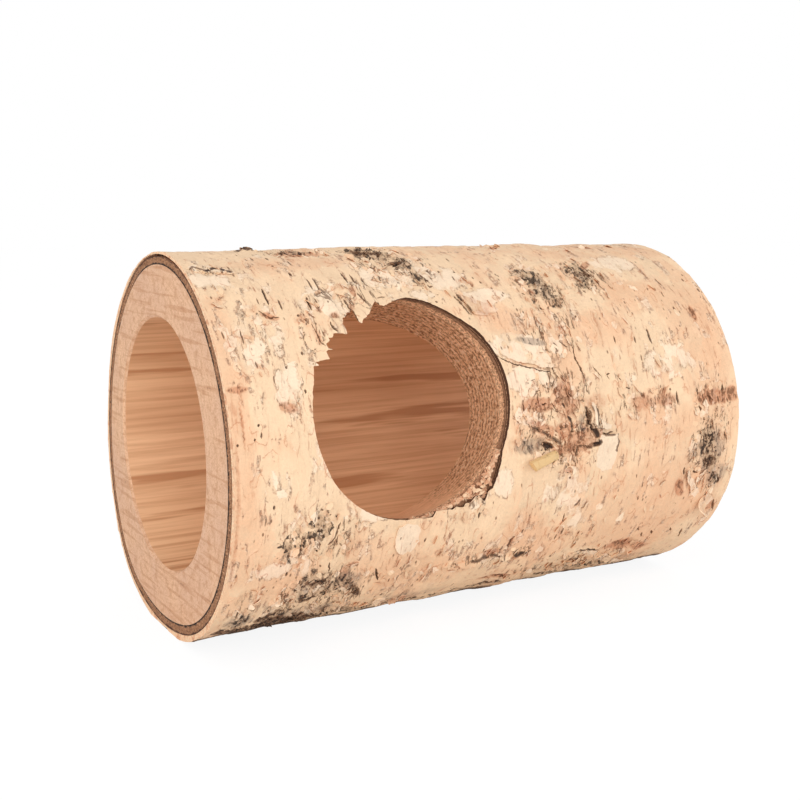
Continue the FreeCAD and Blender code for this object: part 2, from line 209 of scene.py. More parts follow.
# Where the paper bark is torn into many small scales.
SCALY = [
    (-66, 81, 6, 3, 0, 0.8), (-30, 78, 8, 5, 0, 0.8), (20, 80, 20, 4, 0, 0.3), (60, 76, 20, 4, 0, 0.3),
    (-84, 40, 8, 20, 0, 0.25), (60, 40, 24, 20, 0, 0.08), (56, -20, 22, 14, 0, 0.08),
    (-30, -34, 20, 10, 0, 0.45), (30, -30, 12, 12, 0, 0.3), (0, 50, 14, 6, 0, 0.4),
    (-86, -40, 6, 12, 0, 0.5), (30, -50, 30, 5, 0, 0.7), (-62, -54, 24, 5, 0, 1),
    (-50, 48, 12, 7, 0, 1), (-64, 38, 4, 8, 0, 0.9), (-40, 52, 8, 6, 0, 0.7), (16, 8, 18, 16, 0, 1),
    (20, 36, 12, 12, 0, 0.9), (-66, -18, 14, 10, 0, 0.9), (-60, -40, 20, 12, 0, 1),
    (0, -37, 18, 5, 0, 1), (50, -46, 24, 7, 0, 0.8), (80, -8, 10, 18, 0, 0.9), (80, 9, 12, 5, 0, 0.9),
    (45, 55, 10, 10, 0, 0.9), (-25, 64, 14, 14, 0, 1), (50, 10, 16, 5, 0, 0.8),
    (-84, 64, 10, 3, 0, 0.7), (-50, 77, 14, 5, 0, 0.9), (24, 52, 10, 12, 0, 1), (-76, 44, 5, 3, 0, 0.7),
    (-18, -16, 9, 4, 0, 0.8), (40, 18, 9, 5, 0, 0.6)]

# Surface fields of the paper bark, and the patches that each one shows.
PATCHES = {
    "cork": CORKY, "rust": RUSTY, "peach": PEACHY, "pale": PALE, "weathered": GREYED_AND_HOLLOW_SHADE, "soot": DARK_BARK_AND_SHADOW,
    "scaly": SCALY}

# Cracks and lifted edges: width, darkness and the places of x and lift they run through. The
# darkness is partly the bark's own dark in the cracks and partly painted shade: in the slits
# between the torn tongues above the doorway, in grooves beside lifted edges and in the gaps at
# the branch scar.
CRACKS = [
    (0.7, 0.8, [(-63, 41), (-61, 33)]), (0.9, 0.9, [(-57, 41), (-57, 38.5), (-56, 37)]),
    (0.9, 0.9, [(-49, 49.5), (-48, 44.5)]), (0.9, 0.9, [(-44, 51.5), (-42.5, 47)]),
    (0.8, 0.8, [(-38.5, 48.5), (-35, 49)]),
    (0.7, 0.6, [(-93, 65), (-91.5, 64.5), (-90.5, 65.5), (-87.5, 63.5)]),
    (0.9, 1, [(-87, 63.5), (-83, 64.5), (-80.5, 61.5)]),
    (0.7, 0.7, [(-78, 45.5), (-74.5, 43), (-73.5, 43.5), (-72, 43)]),
    (0.9, 0.9, [(-69.5, -18), (-67, -23)]), (0.9, 0.8, [(-64.5, -20.5), (-63, -20), (-60.5, -14.5)]),
    (0.9, 0.9, [(-62.5, -26.5), (-62, -29), (-62.5, -31.5)]),
    (1, 1, [(-70.5, -38), (-70.5, -36), (-68, -34.5)]),
    (0.8, 0.9, [(-67.5, -33.5), (-65.5, -33), (-64, -34), (-64, -36), (-66, -36)]),
    (1, 1, [(-67, -41.5), (-65, -41), (-63.5, -42.5), (-62, -42)]),
    (0.9, 0.9, [(-61.5, -33.5), (-62, -37.5)]), (1.3, 1, [(-48, -40), (-49, -42.5), (-52.5, -47)]),
    (1, 1, [(-45.5, -32), (-42.5, -38.5)]),
    (1.1, 1, [(-26, 62.5), (-24.5, 63.5), (-22.5, 63), (-19, 65.5)]), (1, 1, [(-26, 61), (-24, 58)]),
    (0.9, 0.6, [(-19, 59.5), (-17, 55)]), (0.9, 0.7, [(-19.5, 53.5), (-17.5, 52.5), (-16, 53)]),
    (1.1, 0.75, [(-11, 49), (-8, 40.5)]), (0.8, 0.9, [(19.5, 47), (20, 39.5)]),
    (0.7, 0.7, [(17, 44), (17.5, 41.5)]), (0.6, 1, [(-5, 27.5), (1, 24.5), (15, 21)]),
    (0.8, 1, [(21.5, 30.5), (22.5, 29), (24, 28.5)]), (0.9, 0.9, [(26, 30.5), (25.5, 25), (28, 17)]),
    (0.6, 0.8, [(18.5, 29.5), (19, 27.5)]), (0.7, 0.8, [(31.5, 22), (35, 18.5)]),
    (0.7, 0.8, [(38.5, 19.5), (37, 19), (38, 17.5)]), (0.8, 0.8, [(40.5, 19), (42.5, 17)]),
    (0.7, 0.7, [(43.5, 16), (44.5, 14.5), (46, 14.5)]), (0.7, 0.8, [(15, 20), (14.5, 15)]),
    (0.8, 0.8, [(16, 21.5), (16.5, 14.5)]), (0.9, 0.9, [(17, 13), (17, 8.5)]),
    (0.8, 0.8, [(13, 14), (14, 10)]), (0.8, 0.7, [(6.5, 12.5), (11.5, 12)]),
    (0.6, 0.7, [(2, 13), (2.5, 11.5), (2, 10)]), (1.3, 1, [(26.5, 12), (27.5, 6), (29.5, 1.5)]),
    (0.8, 0.7, [(4.5, 6), (10.5, 3.5), (15, 0.5)]), (0.8, 0.7, [(31, 9.5), (30.5, 4.5)]),
    (1.4, 1, [(28.5, -1), (31, -0.5)]), (1.3, 1, [(9, 1), (12, -0.5)]),
    (1, 0.9, [(38.5, 1), (39, -1), (38.5, -3.5)]), (0.7, 0.8, [(32, 2), (34.5, 1.5), (37, 2)]),
    (0.8, 0.8, [(12, -0.5), (3.5, -3.5)]),
    (0.9, 0.8, [(18, -6), (18, -7.5), (19, -8.5), (21, -8.5), (22, -7), (22, -5.5)]),
    (0.8, 0.8, [(13, -2), (15, -5)]), (0.7, 0.7, [(22.5, -1.5), (22, -3.5)]),
    (0.7, 0.7, [(19, 8), (20.5, 5.5), (20.5, 3.5)]),
    (0.9, 0.8, [(26.5, -17.5), (26, -19), (24.5, -20.5)]), (0.8, 0.6, [(21, -22), (22, -26)]),
    (1, 0.8, [(4, -28.5), (3, -34)]), (1.2, 0.9, [(8, -36), (9, -38.5), (10.5, -37), (14.5, -36.5)]),
    (0.9, 0.7, [(-10, -36), (-7, -37), (-5, -36), (-3, -37), (-1, -36), (2, -37)]),
    (0.9, 0.7, [(34, -41), (41, -41.5), (46.5, -43)]), (1, 0.8, [(2, -50), (7, -51), (16.5, -50.5)]),
    (1, 0.8, [(74.5, 8.5), (77.5, 1.5)]), (1, 0.9, [(86.5, -2), (87.5, -4)]),
    (1.2, 1, [(69.5, -12), (70.5, -15)]), (1, 0.8, [(74.5, -14), (77, -15)]),
    (1.2, 0.9, [(86.5, -16), (88, -20)]), (0.8, 0.7, [(82.5, -18), (85, -19)]),
    (1.3, 0.8, [(83.5, -23), (86, -28)]), (1, 0.7, [(89, -26), (92, -32)]),
    (0.8, 0.7, [(58.5, -34), (60, -36)]), (0.9, 0.6, [(62, -37), (63.5, -40)]),
    (1, 0.6, [(66.5, -37), (68.5, -40)]), (0.9, 0.6, [(75, -37), (77, -39.5)]),
    (1.2, 0.6, [(82, -38.5), (83.5, -44)]), (1, 0.7, [(75.5, 53.5), (77, 48.5)])]

# Dark strokes that run round the log: x, upper lift, lower lift, width and darkness.
STROKES = [
    (-72, 71, 69, 1, 0.7), (-70, 72, 69, 0.9, 0.8), (-65, 72, 69, 1, 0.9), (-59, 69.5, 65, 0.8, 0.7),
    (-79.5, 67, 63, 0.7, 0.7), (-62, 61.5, 59, 1.1, 0.9), (-57.5, 58.5, 53, 0.7, 0.8),
    (-55.5, 58.5, 50, 0.6, 0.8), (-74, 54, 47, 0.9, 1), (-77, 50, 47, 0.6, 0.7),
    (-70.5, 49.5, 45, 0.7, 0.8), (-61, 50.5, 45, 0.9, 1), (-58.5, 50, 45.5, 0.7, 0.6),
    (-66, 44, 43, 1, 1), (-45, 61, 55, 0.8, 1), (-90.5, 40, 36.5, 0.7, 0.6), (-85, 40, 35, 0.6, 0.7),
    (-68.5, 32.5, 31, 0.9, 0.8), (-83, 30.5, 28, 0.7, 0.6), (-74.5, 28.5, 27.5, 0.9, 0.8),
    (-70, 22, 20.5, 1, 0.9), (-85.5, 14, 13, 0.8, 0.9), (-85, 12, 10, 0.8, 0.8),
    (-87, 10.5, 9.5, 0.8, 0.8), (-92, 9.5, 8.5, 0.9, 0.8), (-82, -7, -8.5, 1, 1),
    (-75.5, -27.5, -29.5, 1.1, 0.9), (-73.5, -36.5, -42, 0.7, 0.6), (-87, -41, -45.5, 0.8, 0.7),
    (-42.5, 60, 55, 0.7, 0.8), (-41, 58, 53.5, 0.8, 0.8), (-39, 58.5, 56, 0.9, 0.7),
    (-33, 60.5, 53, 0.7, 0.7), (-29.5, 65.5, 64, 1.2, 0.9), (-27.5, 65, 63, 1, 0.9),
    (-15, 60, 58.5, 0.9, 0.9), (-10.5, 60.5, 59, 0.9, 0.9), (-3, 68, 65, 1, 0.7),
    (-5, 59.5, 58.5, 0.9, 0.9), (-1, 60, 59, 0.9, 0.8), (-7, 57.5, 54.5, 0.7, 0.7),
    (2, 54.5, 53, 0.9, 0.9), (8, 49.5, 48, 0.8, 0.8), (-18, 47, 46, 1, 1), (32, 39.5, 38, 1.1, 0.9),
    (75.5, 41, 39, 1.1, 0.7), (44, 31.5, 28.5, 0.9, 0.8), (52.5, 31, 28, 1, 0.8),
    (59.5, 33.5, 27.5, 1.1, 0.9), (53, 25, 22, 0.9, 0.5), (62.5, 13.5, 12.5, 1, 0.9),
    (65, 12.5, 8, 1, 0.9), (86, 5, 4, 0.9, 0.7), (75, 13, 9.5, 1.1, 0.9), (77.5, 11.5, 7, 0.9, 0.8),
    (80, 11, 8, 0.8, 0.7), (82, 11.5, 6.5, 1.1, 0.9), (84.5, 10.5, 7, 0.9, 0.8),
    (86.5, 13.5, 7, 1.1, 0.9), (88.5, 13, 8.5, 0.9, 0.7), (90.5, 11.5, 9, 0.8, 0.6),
    (88.5, 53.5, 51.5, 1, 0.6), (92, 48.5, 46, 1, 0.6), (20.5, -10, -11, 0.9, 0.7),
    (21.5, -30, -33, 1, 0.8), (6.5, -26, -28, 0.9, 0.8), (52, -20, -22, 1, 0.6),
    (-12.5, -17.5, -20, 1, 1), (-30.5, -23.5, -25.5, 0.8, 0.8), (-38, -46, -48, 0.9, 0.8)]

# Drifts of short strokes: lowest and highest x, lowest and highest lift, number, longest and
# widest stroke, the lean away from running round the log and the darkness.
DRIFTS = [
    (12, 22, 8, 25, 34, 3.4, 0.7, 18, 0.8), (75, 91, 6, 13, 22, 2.6, 0.8, 20, 0.7),
    (45, 64, 7, 13, 34, 2.2, 0.6, 60, 0.7), (0, 15, 9.6, 14, 22, 2.4, 0.7, 70, 0.7),
    (-81, -72, -26, -16, 44, 1, 0.6, 90, 0.9), (-70, -64, -18, -8, 18, 1.6, 0.8, 60, 0.9),
    (-71, -61, -43, -26, 60, 2, 0.8, 70, 0.9), (-60, -47, -43, -30, 54, 2, 0.7, 70, 0.6),
    (-37, -21, 67, 80, 56, 2.4, 1, 40, 0.95), (-27, -16, 51, 66, 40, 1.8, 0.8, 60, 0.9),
    (-22, -15, 45, 51, 18, 0.8, 0.6, 90, 0.8), (15, 30, 42, 61, 80, 2, 0.8, 60, 0.9),
    (38, 51, 46, 61, 64, 1.9, 0.8, 60, 0.85), (74, 84, -14, 1, 58, 1.8, 0.9, 70, 0.95),
    (82, 90, -21, -12, 22, 1.6, 0.7, 70, 0.8), (-89, -81, -54, -43, 34, 2, 0.8, 40, 0.8),
    (-82, -64, -57, -45, 70, 2.6, 1, 40, 0.95), (-64, -20, -58, -51, 70, 2.6, 1, 40, 0.9),
    (-20, 70, -58, -53, 80, 3, 0.9, 30, 0.8), (-62, -38, 75, 86, 40, 2.6, 0.8, 40, 0.7),
    (-71, -63, 79, 84, 20, 2, 1.1, 60, 1), (9, 20, 29, 42, 30, 1.8, 0.6, 70, 0.7),
    (2, 17, 29, 33, 26, 1.6, 0.6, 80, 0.7), (14, 34, -8, 6, 24, 1.8, 0.7, 70, 0.7),
    (-8, 16, -41, -33, 26, 2.2, 0.7, 50, 0.6), (44, 74, -50, -38, 30, 3, 0.7, 60, 0.5)]


def srgb(red, green, blue):
    """Colour written as 0 to 255 sRGB, as Blender's linear colour."""
    shares = [value / 255 for value in (red, green, blue)]
    return tuple(c / 12.92 if c < 0.04045 else ((c + 0.055) / 1.055) ** 2.4 for c in shares)


def colour_property(name, description, red, green, blue):
    """Colour that a user can change."""
    return bpy.props.FloatVectorProperty(
        name=name, description=description, subtype="COLOR", size=3, min=0.0, max=1.0,
        default=srgb(red, green, blue))


def length_property(name, description, millimetres):
    """Length that a user can change, kept in metres."""
    return bpy.props.FloatProperty(
        name=name, description=description, unit="LENGTH", default=millimetres * MM, precision=5)


class LogSizes(bpy.types.PropertyGroup):
    """Sizes of the bark's relief and of the meshes."""

    bark_spacing: length_property(
        "Bark Spacing", "Distance between neighbouring points of the bark on the doorway side", 0.74)
    back_spacing: length_property(
        "Back Spacing", "Distance between neighbouring points of the bark at the back", 1.9)
    wood_spacing: length_property(
        "Wood Spacing", "Distance between neighbouring points of the bored wood", 2.2)
    swell: length_property("Swell", "How far the bark swells and sinks", 0.45)
    paper_step: length_property("Paper Step", "Height of one torn layer of paper bark", 0.2)
    paper_thickness: length_property("Paper Thickness", "Thickness of loose paper bark", 0.4)
    cork_height: length_property("Cork Height", "Height of the corky ridges", 1.1)
    crack_depth: length_property("Crack Depth", "Depth of the cracks in the bark", 0.7)
    near_top_drop: length_property("Near Top Drop", "How far the top sinks at the near end", 1.0)
    dash_count: bpy.props.IntProperty(
        name="Dash Count", description="Small dark dashes scattered over the bark", default=300)
    seed: bpy.props.IntProperty(name="Seed", description="Changes all that is scattered", default=7)


class LogColours(bpy.types.PropertyGroup):
    """Colours of the bark and of the wood."""

    cream: colour_property("Cream", "Most of the paper bark", 243, 209, 172)
    pale: colour_property("Pale", "Fresh, nearly white paper bark", 250, 228, 203)
    peach: colour_property("Peach", "Lower layer of the paper bark", 235, 184, 145)
    rust: colour_property("Rust", "Freshly torn bark", 196, 124, 86)
    # Brown and black also paint shade: part of the cracks' darkness, the band along the underside and the
    # patches by the branch scar are painted shade and shadow.
    brown: colour_property("Brown", "Edges of torn layers and cracks", 118, 78, 50)
    black: colour_property("Black", "Bottom of cracks and the dark dashes", 44, 32, 26)
    # Grey also paints shade in the hollows beside the branch scar.
    grey: colour_property("Grey", "Weathered bark", 150, 128, 112)
    bast: colour_property("Bast", "Inner bark at the sawn edges", 168, 120, 86)
    # Bast Dark also paints the paper bark's torn edge round the doorway, as painted shade.
    bast_dark: colour_property("Bast Dark", "Darkest lines of the inner bark", 74, 46, 32)
    stick: colour_property("Stick", "Broken stick at the branch scar", 222, 184, 124)
    sawn_wood: colour_property("Sawn Wood", "Wood at the sawn ends", 220, 177, 146)
    bored_wood: colour_property("Bored Wood", "Wood inside the bore", 242, 196, 153)
    doorway_wood: colour_property("Doorway Wood", "Wood at the doorway's cut", 244, 190, 147)
    wood_grain: colour_property("Wood Grain", "Darker lines of the wood", 184, 126, 84)


class StageSettings(bpy.types.PropertyGroup):
    """Light, floor and camera."""

    floor: colour_property("Floor", "Colour of the floor", 250, 250, 250)
    camera_place: bpy.props.FloatVectorProperty(
        name="Camera Place", description="Where the camera stands", subtype="TRANSLATION",
        default=(-0.203328, -0.342742, 0.127884))
    camera_aim: bpy.props.FloatVectorProperty(
        name="Camera Aim", description="Way that the camera looks", subtype="DIRECTION",
        default=(0.49201, 0.85759, -0.14987))
    lens: bpy.props.FloatProperty(
        name="Lens", description="Focal length on a 36 mm sensor, in millimetres", default=51.271)
    key_power: bpy.props.FloatProperty(
        name="Key Power", description="Power of the main lamp, in watts", default=3.4)
    fill_power: bpy.props.FloatProperty(
        name="Fill Power", description="Power of the lamp on the right, in watts", default=3.1)
    mouth_power: bpy.props.FloatProperty(
        name="Mouth Power", description="Power of the lamp before the near mouth, in watts",
        default=2.0)
    sky: bpy.props.FloatProperty(
        name="Sky", description="Strength of the light from all around", default=0.73)


def sizes():
    """The sizes that the user has set."""
    return bpy.context.scene.log_house_sizes


def tone(name):
    """One of the colours that the user has set, opaque."""
    return (*getattr(bpy.context.scene.log_house_colours, name), 1.0)


# --- The log's surfaces ---


class Section:
    """Radius of one surface of the log round the bore axis, by lift, read from a CAD node."""

    def __init__(self, node, outside):
        mesh = frame["nodes"][node].data
        tree = BVHTree.FromPolygons(
            [vertex.co for vertex in mesh.vertices], [face.vertices for face in mesh.polygons])
        self.lifts = np.arange(-180.0, 180.0, 0.5)
        start = Vector((SECTION_X * MM, 0, AXIS_HEIGHT * MM))
        beyond = 2 * GIRTH_RADIUS
        found = []
        for lift in self.lifts:
            way = Vector((0, -math.cos(math.radians(lift)), math.sin(math.radians(lift))))
            if outside:
                distance = tree.ray_cast(start + way * beyond * MM, -way)[3]
                found.append(beyond - distance / MM)
            else:
                found.append(tree.ray_cast(start, way)[3] / MM)
        soften = np.array([1.0, 2.0, 3.0, 2.0, 1.0]) / 9
        ring = np.concatenate([found[-2:], found, found[:2]])
        self.radii = np.convolve(ring, soften, mode="valid")

    def at(self, lift):
        """Radius at lifts."""
        return np.interp(lift, self.lifts, self.radii, period=360.0)


def spots(x, lift, radius):
    """Points in millimetres at places of the log, as rows of x, y and z."""
    turn = np.radians(lift)
    x, radius = np.broadcast_arrays(x, radius)
    return np.stack(
        [x, -np.cos(turn) * radius, AXIS_HEIGHT + np.sin(turn) * radius], axis=-1)


def outward(lift):
    """Unit vectors that point straight out of the log at lifts."""
    turn = np.radians(lift)
    return np.stack([np.zeros(np.shape(lift)), -np.cos(turn), np.sin(turn)], axis=-1)


def upward(lift):
    """Unit vectors that run round the log's surface at lifts."""
    turn = np.radians(lift)
    return np.stack([np.zeros(np.shape(lift)), np.sin(turn), np.cos(turn)], axis=-1)


def clouds(points, width, octaves=3, round_log=1.0, shift=0.0):
    """Smooth noise from about -1 to 1 at points, its blotches width millimetres wide along x
    and round_log times as wide round the log."""
    scale = np.array([1.0, 1 / round_log, 1 / round_log]) / width
    places = (points * scale + shift).tolist()
    return np.array([noise.fractal(place, 1.0, 2.0, octaves) for place in places])


def smooth(low, high, value):
    """0 below low, 1 above high and smooth between, also where low is above high."""
    share = np.clip((value - low) / (high - low), 0.0, 1.0)
    return share * share * (3 - 2 * share)


def distances(corners, weights=1.0):
    """Distance along a line of corners from its first corner to each of them."""
    steps = np.linalg.norm(np.diff(corners, axis=0) * weights, axis=1)
    return np.concatenate([[0], np.cumsum(steps)])


def line_at(corners, run, steps):
    """Both coordinates at steps along a line of corners."""
    return [np.interp(steps, run, corners[:, k]) for k in (0, 1)]


def triangulated(points, lines):
    """Points, triangles and sources of the points of a flat mesh that keeps to lines."""
    made, _, faces, origins, _, _ = delaunay_2d_cdt(
        [Vector(point) for point in points.tolist()], [tuple(map(int, line)) for line in lines],
        [], 0, WELD_GAP)
    return np.array([tuple(point) for point in made]), np.array(faces), origins


def spread(random):
    """Distance, from 0 to 1, and way of a random place in a round patch, closest in its middle."""
    return random.uniform(0, 1) ** 0.6, random.uniform(0, 2 * math.pi)


def patchy(x, lift, patches):
    """How strongly patches cover places, from 0 to 1."""
    cover = np.zeros(np.shape(x))
    for middle_x, middle_lift, half_x, half_up, turn, strength in patches:
        across = x - middle_x
        up = (lift - middle_lift) * MM_PER_DEGREE
        lean = math.radians(turn)
        along = across * math.cos(lean) + up * math.sin(lean)
        beside = up * math.cos(lean) - across * math.sin(lean)
        reach = np.hypot(along / half_x, beside / half_up)
        cover = np.maximum(cover, strength * smooth(1.45, 0.45, reach))
    return cover


BARK_TOP = Section("outer_bark", True)
BARK_UNDER = Section("outer_bark", False)
BAST_TOP = Section("inner_bark", True)
BAST_UNDER = Section("inner_bark", False)
WOOD_TOP = Section("wood_wall", True)
BORE = Section("wood_wall", False)


def near_top(x, lift):
    """Share by which the near end's top sinks."""
    return smooth(10.0, -90.0, x) * smooth(50.0, 78.0, lift) * smooth(150.0, 110.0, lift)


def layering(points):
    """Number of the paper layer that lies open at points, with its fraction."""
    return 2.2 * clouds(points, 16.0, 4, 1.7, 3.0) + 1.1 * clouds(points, 5.0, 3, 2.2, 9.0) + 8


def bark_relief(x, lift):
    """Height of the bark over the solid's surface, in millimetres, without its cracks."""
    size = sizes()
    points = spots(x, lift, BARK_TOP.at(lift))
    height = 0.15 + size.swell / MM * clouds(points, 26.0, 2, 1.2)
    height += 0.16 * clouds(points, 6.0, 3, 2.0, 5.0)
    scales = 3.4 * clouds(points, 4.2, 3, 1.5, 33.0)
    scales = np.floor(scales) + smooth(0.55, 1.0, scales % 1.0)
    height += 0.26 * patchy(x, lift, SCALY) * scales
    layers = layering(points)
    height += size.paper_step / MM * (np.floor(layers) + smooth(0.7, 1.0, layers % 1.0) - 8)
    cork = patchy(x, lift, CORKY)
    ridges = 1 - 2.6 * np.abs(clouds(points, 3.2, 3, 1.2, 21.0))
    height += cork * (0.55 * size.cork_height / MM * ridges - 0.1)
    height -= 0.5 * smooth(0.1, 1.0, patchy(x, lift, RUSTY))
    height -= size.near_top_drop / MM * near_top(x, lift)
    height += knot_relief(x, lift)
    return np.clip(height, LOWEST_RELIEF, HIGHEST_RELIEF)


def knot_relief(x, lift):
    """Swelling round the branch scar, with the hollows at its sides."""
    up = (lift - KNOT_LIFT) * MM_PER_DEGREE
    reach = np.hypot((x - KNOT_X) / 1.5, up)
    swelling = 0.6 * np.exp(-((reach - 8.0) / 4.5) ** 2)
    return swelling - 1.9 * patchy(x, lift, KNOT_HOLLOWS)


def bark_radius(x, lift):
    """Radius of the bark's surface at places, with its relief."""
    return BARK_TOP.at(lift) + bark_relief(np.asarray(x, float), np.asarray(lift, float))


def graded(low, high, spacing_at):
    """Rising values from low to high whose distance follows spacing_at."""
    values = [low]
    while values[-1] < high:
        values.append(values[-1] + spacing_at(values[-1]))
    values = np.array(values)
    return low + (values - low) * (high - low) / (values[-1] - low)


def round_loop(reach):
    """Angles and distances of an even edge round the doorway's axis."""
    angles = np.linspace(0, 360, SAWN_EDGE_POINTS, endpoint=False)
    return angles, np.full(SAWN_EDGE_POINTS, reach)


def torn_loop():
    """Angles and distances of the torn bark's edge round the doorway's axis."""
    corners = np.array([*TORN_EDGE, (TORN_EDGE[0][0] + 360, TORN_EDGE[0][1])])
    run = distances(corners, [DOOR_RADIUS * math.pi / 180, 1.0])
    steps = np.linspace(0, run[-1], TORN_EDGE_POINTS, endpoint=False)
    angles, offsets = line_at(corners, run, steps)
    turn = np.radians(angles)
    ring = np.stack([np.cos(turn), np.sin(turn), 0 * turn], axis=1) * (DOOR_RADIUS + offsets)[:, None]
    ragged = 0.08 + 0.22 * smooth(0.6, 3.0, np.abs(offsets))
    return angles, DOOR_RADIUS + offsets + ragged * clouds(ring, 1.3, 3, 1.0, 4.0)


def doorway_places(section, angles, reach):
    """x and lift of points round the doorway, by angle and distance from its axis."""
    turn = np.radians(angles)
    across, up = reach * np.cos(turn), reach * np.sin(turn)
    out = np.sqrt(GIRTH_RADIUS ** 2 - up ** 2)
    for _ in range(4):
        lift = DOOR_LIFT + np.degrees(np.arctan2(up, out))
        out = np.sqrt(np.maximum(section.at(lift) ** 2 - up ** 2, 1.0))
    return DOOR_X + across, DOOR_LIFT + np.degrees(np.arctan2(up, out))


def doorway_distance(x, lift):
    """Distance of places from the doorway's axis, endless on the far side of the log."""
    turn = np.radians(lift - DOOR_LIFT)
    reach = np.hypot(x - DOOR_X, GIRTH_RADIUS * np.sin(turn))
    return np.where(np.cos(turn) > 0, reach, np.inf)


def doorway_arms(points):
    """Unit vectors that point from the doorway's axis straight to points."""
    axis = outward(DOOR_LIFT)
    arm = points - np.array([DOOR_X, 0.0, AXIS_HEIGHT])
    arm -= (arm @ axis)[:, None] * axis
    return arm / np.linalg.norm(arm, axis=1)[:, None]


def within(loop, points):
    """Which points lie inside a closed loop, both as rows of two numbers."""
    inside = np.zeros(len(points), bool)
    low, high = loop.min(0), loop.max(0)
    near = np.flatnonzero(np.all((points > low) & (points < high), axis=1))
    x, y = points[near, 0][:, None], points[near, 1][:, None]
    x1, y1 = loop[:, 0][None], loop[:, 1][None]
    x2, y2 = np.roll(x1, -1), np.roll(y1, -1)
    crosses = (y1 > y) != (y2 > y)
    slope = (x2 - x1) / np.where(y2 == y1, 1e-12, y2 - y1)
    inside[near] = (crosses & (x < x1 + slope * (y - y1))).sum(1) % 2 == 1
    return inside


class Inlays:
    """Cracks and dashes to be laid into the bark's mesh: places, lines, darkness and height."""

    cell = 0.25

    def __init__(self):
        self.points, self.lines, self.dark, self.height = [], [], [], []
        self.taken = set()
        self.random = np.random.default_rng(sizes().seed)

    def claim(self, points, gap):
        """Mark the room round points as taken, or give False if some of it was."""
        cells = set()
        steps = np.arange(-gap, gap + self.cell, self.cell)
        for x, y in points:
            for dx in steps:
                for dy in steps:
                    cells.add((int((x + dx) // self.cell), int((y + dy) // self.cell)))
        if cells & self.taken:
            return False
        self.taken |= cells
        return True

    def free(self, points):
        """Which points lie clear of all the room taken."""
        cells = np.floor(points / self.cell).astype(int)
        return np.array([(x, y) not in self.taken for x, y in cells.tolist()])

    def add(self, middle, widths, dark, depth):
        """Lay in a groove along middle, which is left out if it would cross another one."""
        ahead = np.gradient(middle, axis=0)
        ahead /= np.linalg.norm(ahead, axis=1)[:, None]
        side = np.stack([-ahead[:, 1], ahead[:, 0]], axis=1) * widths[:, None] / 2
        left, right = (middle + side)[1:-1], (middle - side)[1:-1]
        outline = np.concatenate([middle[:1], left, middle[-1:], right[::-1]])
        if not self.claim(np.concatenate([outline, middle]), 0.3):
            return
        first = len(self.points)
        count = len(outline)
        self.points += outline.tolist() + middle[1:-1].tolist()
        self.lines += [(first + i, first + (i + 1) % count) for i in range(count)]
        inner = len(middle) - 2
        self.lines += [(first + count + i, first + count + i + 1) for i in range(inner - 1)]
        self.dark += [0.0] * count + [dark] * inner
        self.height += [0.05] * count + [-depth] * inner

    def crack(self, width, dark, places):
        """Groove through places that wanders a little and tapers at both ends."""
        corners = np.array([(x, lift * MM_PER_DEGREE) for x, lift in places])
        run = distances(corners)
        steps = np.linspace(0, run[-1], max(5, int(run[-1] / 0.55)))
        middle = np.stack(line_at(corners, run, steps), axis=1)
        middle[1:-1] += self.random.normal(0, 0.11, (len(middle) - 2, 2))
        share = steps / run[-1]
        widths = width * np.clip(4 * share * (1 - share), 0.25, 1) ** 0.5
        widths *= self.random.uniform(0.5, 1.25, len(widths))
        self.add(middle, widths, dark, sizes().crack_depth / MM * min(1.0, width))

    def stroke(self, x, lift, length, width, lean, dark):
        """Short dark stroke, lean degrees away from running round the log."""
        steps = np.linspace(-0.5, 0.5, max(4, int(length / 0.75)))
        turn = math.radians(90 - lean)
        middle = steps[:, None] * length * np.array([math.cos(turn), math.sin(turn)])
        middle += [x, lift * MM_PER_DEGREE]
        middle[:, 0] += self.random.normal(0, 0.07, len(steps))
        widths = width * np.sqrt(np.clip(1 - (2 * steps) ** 2, 0.1, 1))
        widths *= self.random.uniform(0.75, 1.2, len(steps))
        self.add(middle, widths, dark, 0.1 + 0.3 * dark * min(1.0, width))

    def drift(self, low_x, high_x, low, high, count, longest, widest, lean, dark):
        """Many short strokes, closest in the middle of a region."""
        for _ in range(count):
            reach, turn = spread(self.random)
            x = (low_x + high_x) / 2 + reach * math.cos(turn) * (high_x - low_x) / 2
            lift = (low + high) / 2 + reach * math.sin(turn) * (high - low) / 2
            length = max(0.7, longest * self.random.uniform(0.3, 1))
            width = widest * self.random.uniform(0.6, 1.1)
            self.stroke(x, lift, length, width, self.random.uniform(-lean, lean),
                        dark * self.random.uniform(0.35, 1))

    def scatter(self, count):
        """Small dashes all round the log, in drifts, clear of the doorway and the ends."""
        for _ in range(count):
            x = self.random.uniform(NEAR + END_GAP, FAR - END_GAP)
            lift = self.random.uniform(SEAM_LIFT + 8, SEAM_LIFT + 352)
            place = spots(np.array([x]), np.array([lift]), np.array([GIRTH_RADIUS]))
            drift = clouds(place, 22.0, 2, 1.0, 31.0)[0]
            if drift > -0.12 and doorway_distance(x, lift) >= DOOR_RADIUS + 4:
                self.stroke(x, lift, self.random.uniform(0.9, 3.6), self.random.uniform(0.35, 0.7),
                            self.random.normal(0, 5), self.random.uniform(0.2, 0.6))


def bark_inlays():
    """All cracks and strokes of the bark."""
    inlays = Inlays()
    for crack in CRACKS:
        inlays.crack(*crack)
    for x, high, low, width, dark in STROKES:
        inlays.stroke(x, (high + low) / 2, (high - low) * MM_PER_DEGREE, width, 0.0, dark)
    for drift in DRIFTS:
        inlays.drift(*drift)
    inlays.scatter(sizes().dash_count)
    return inlays


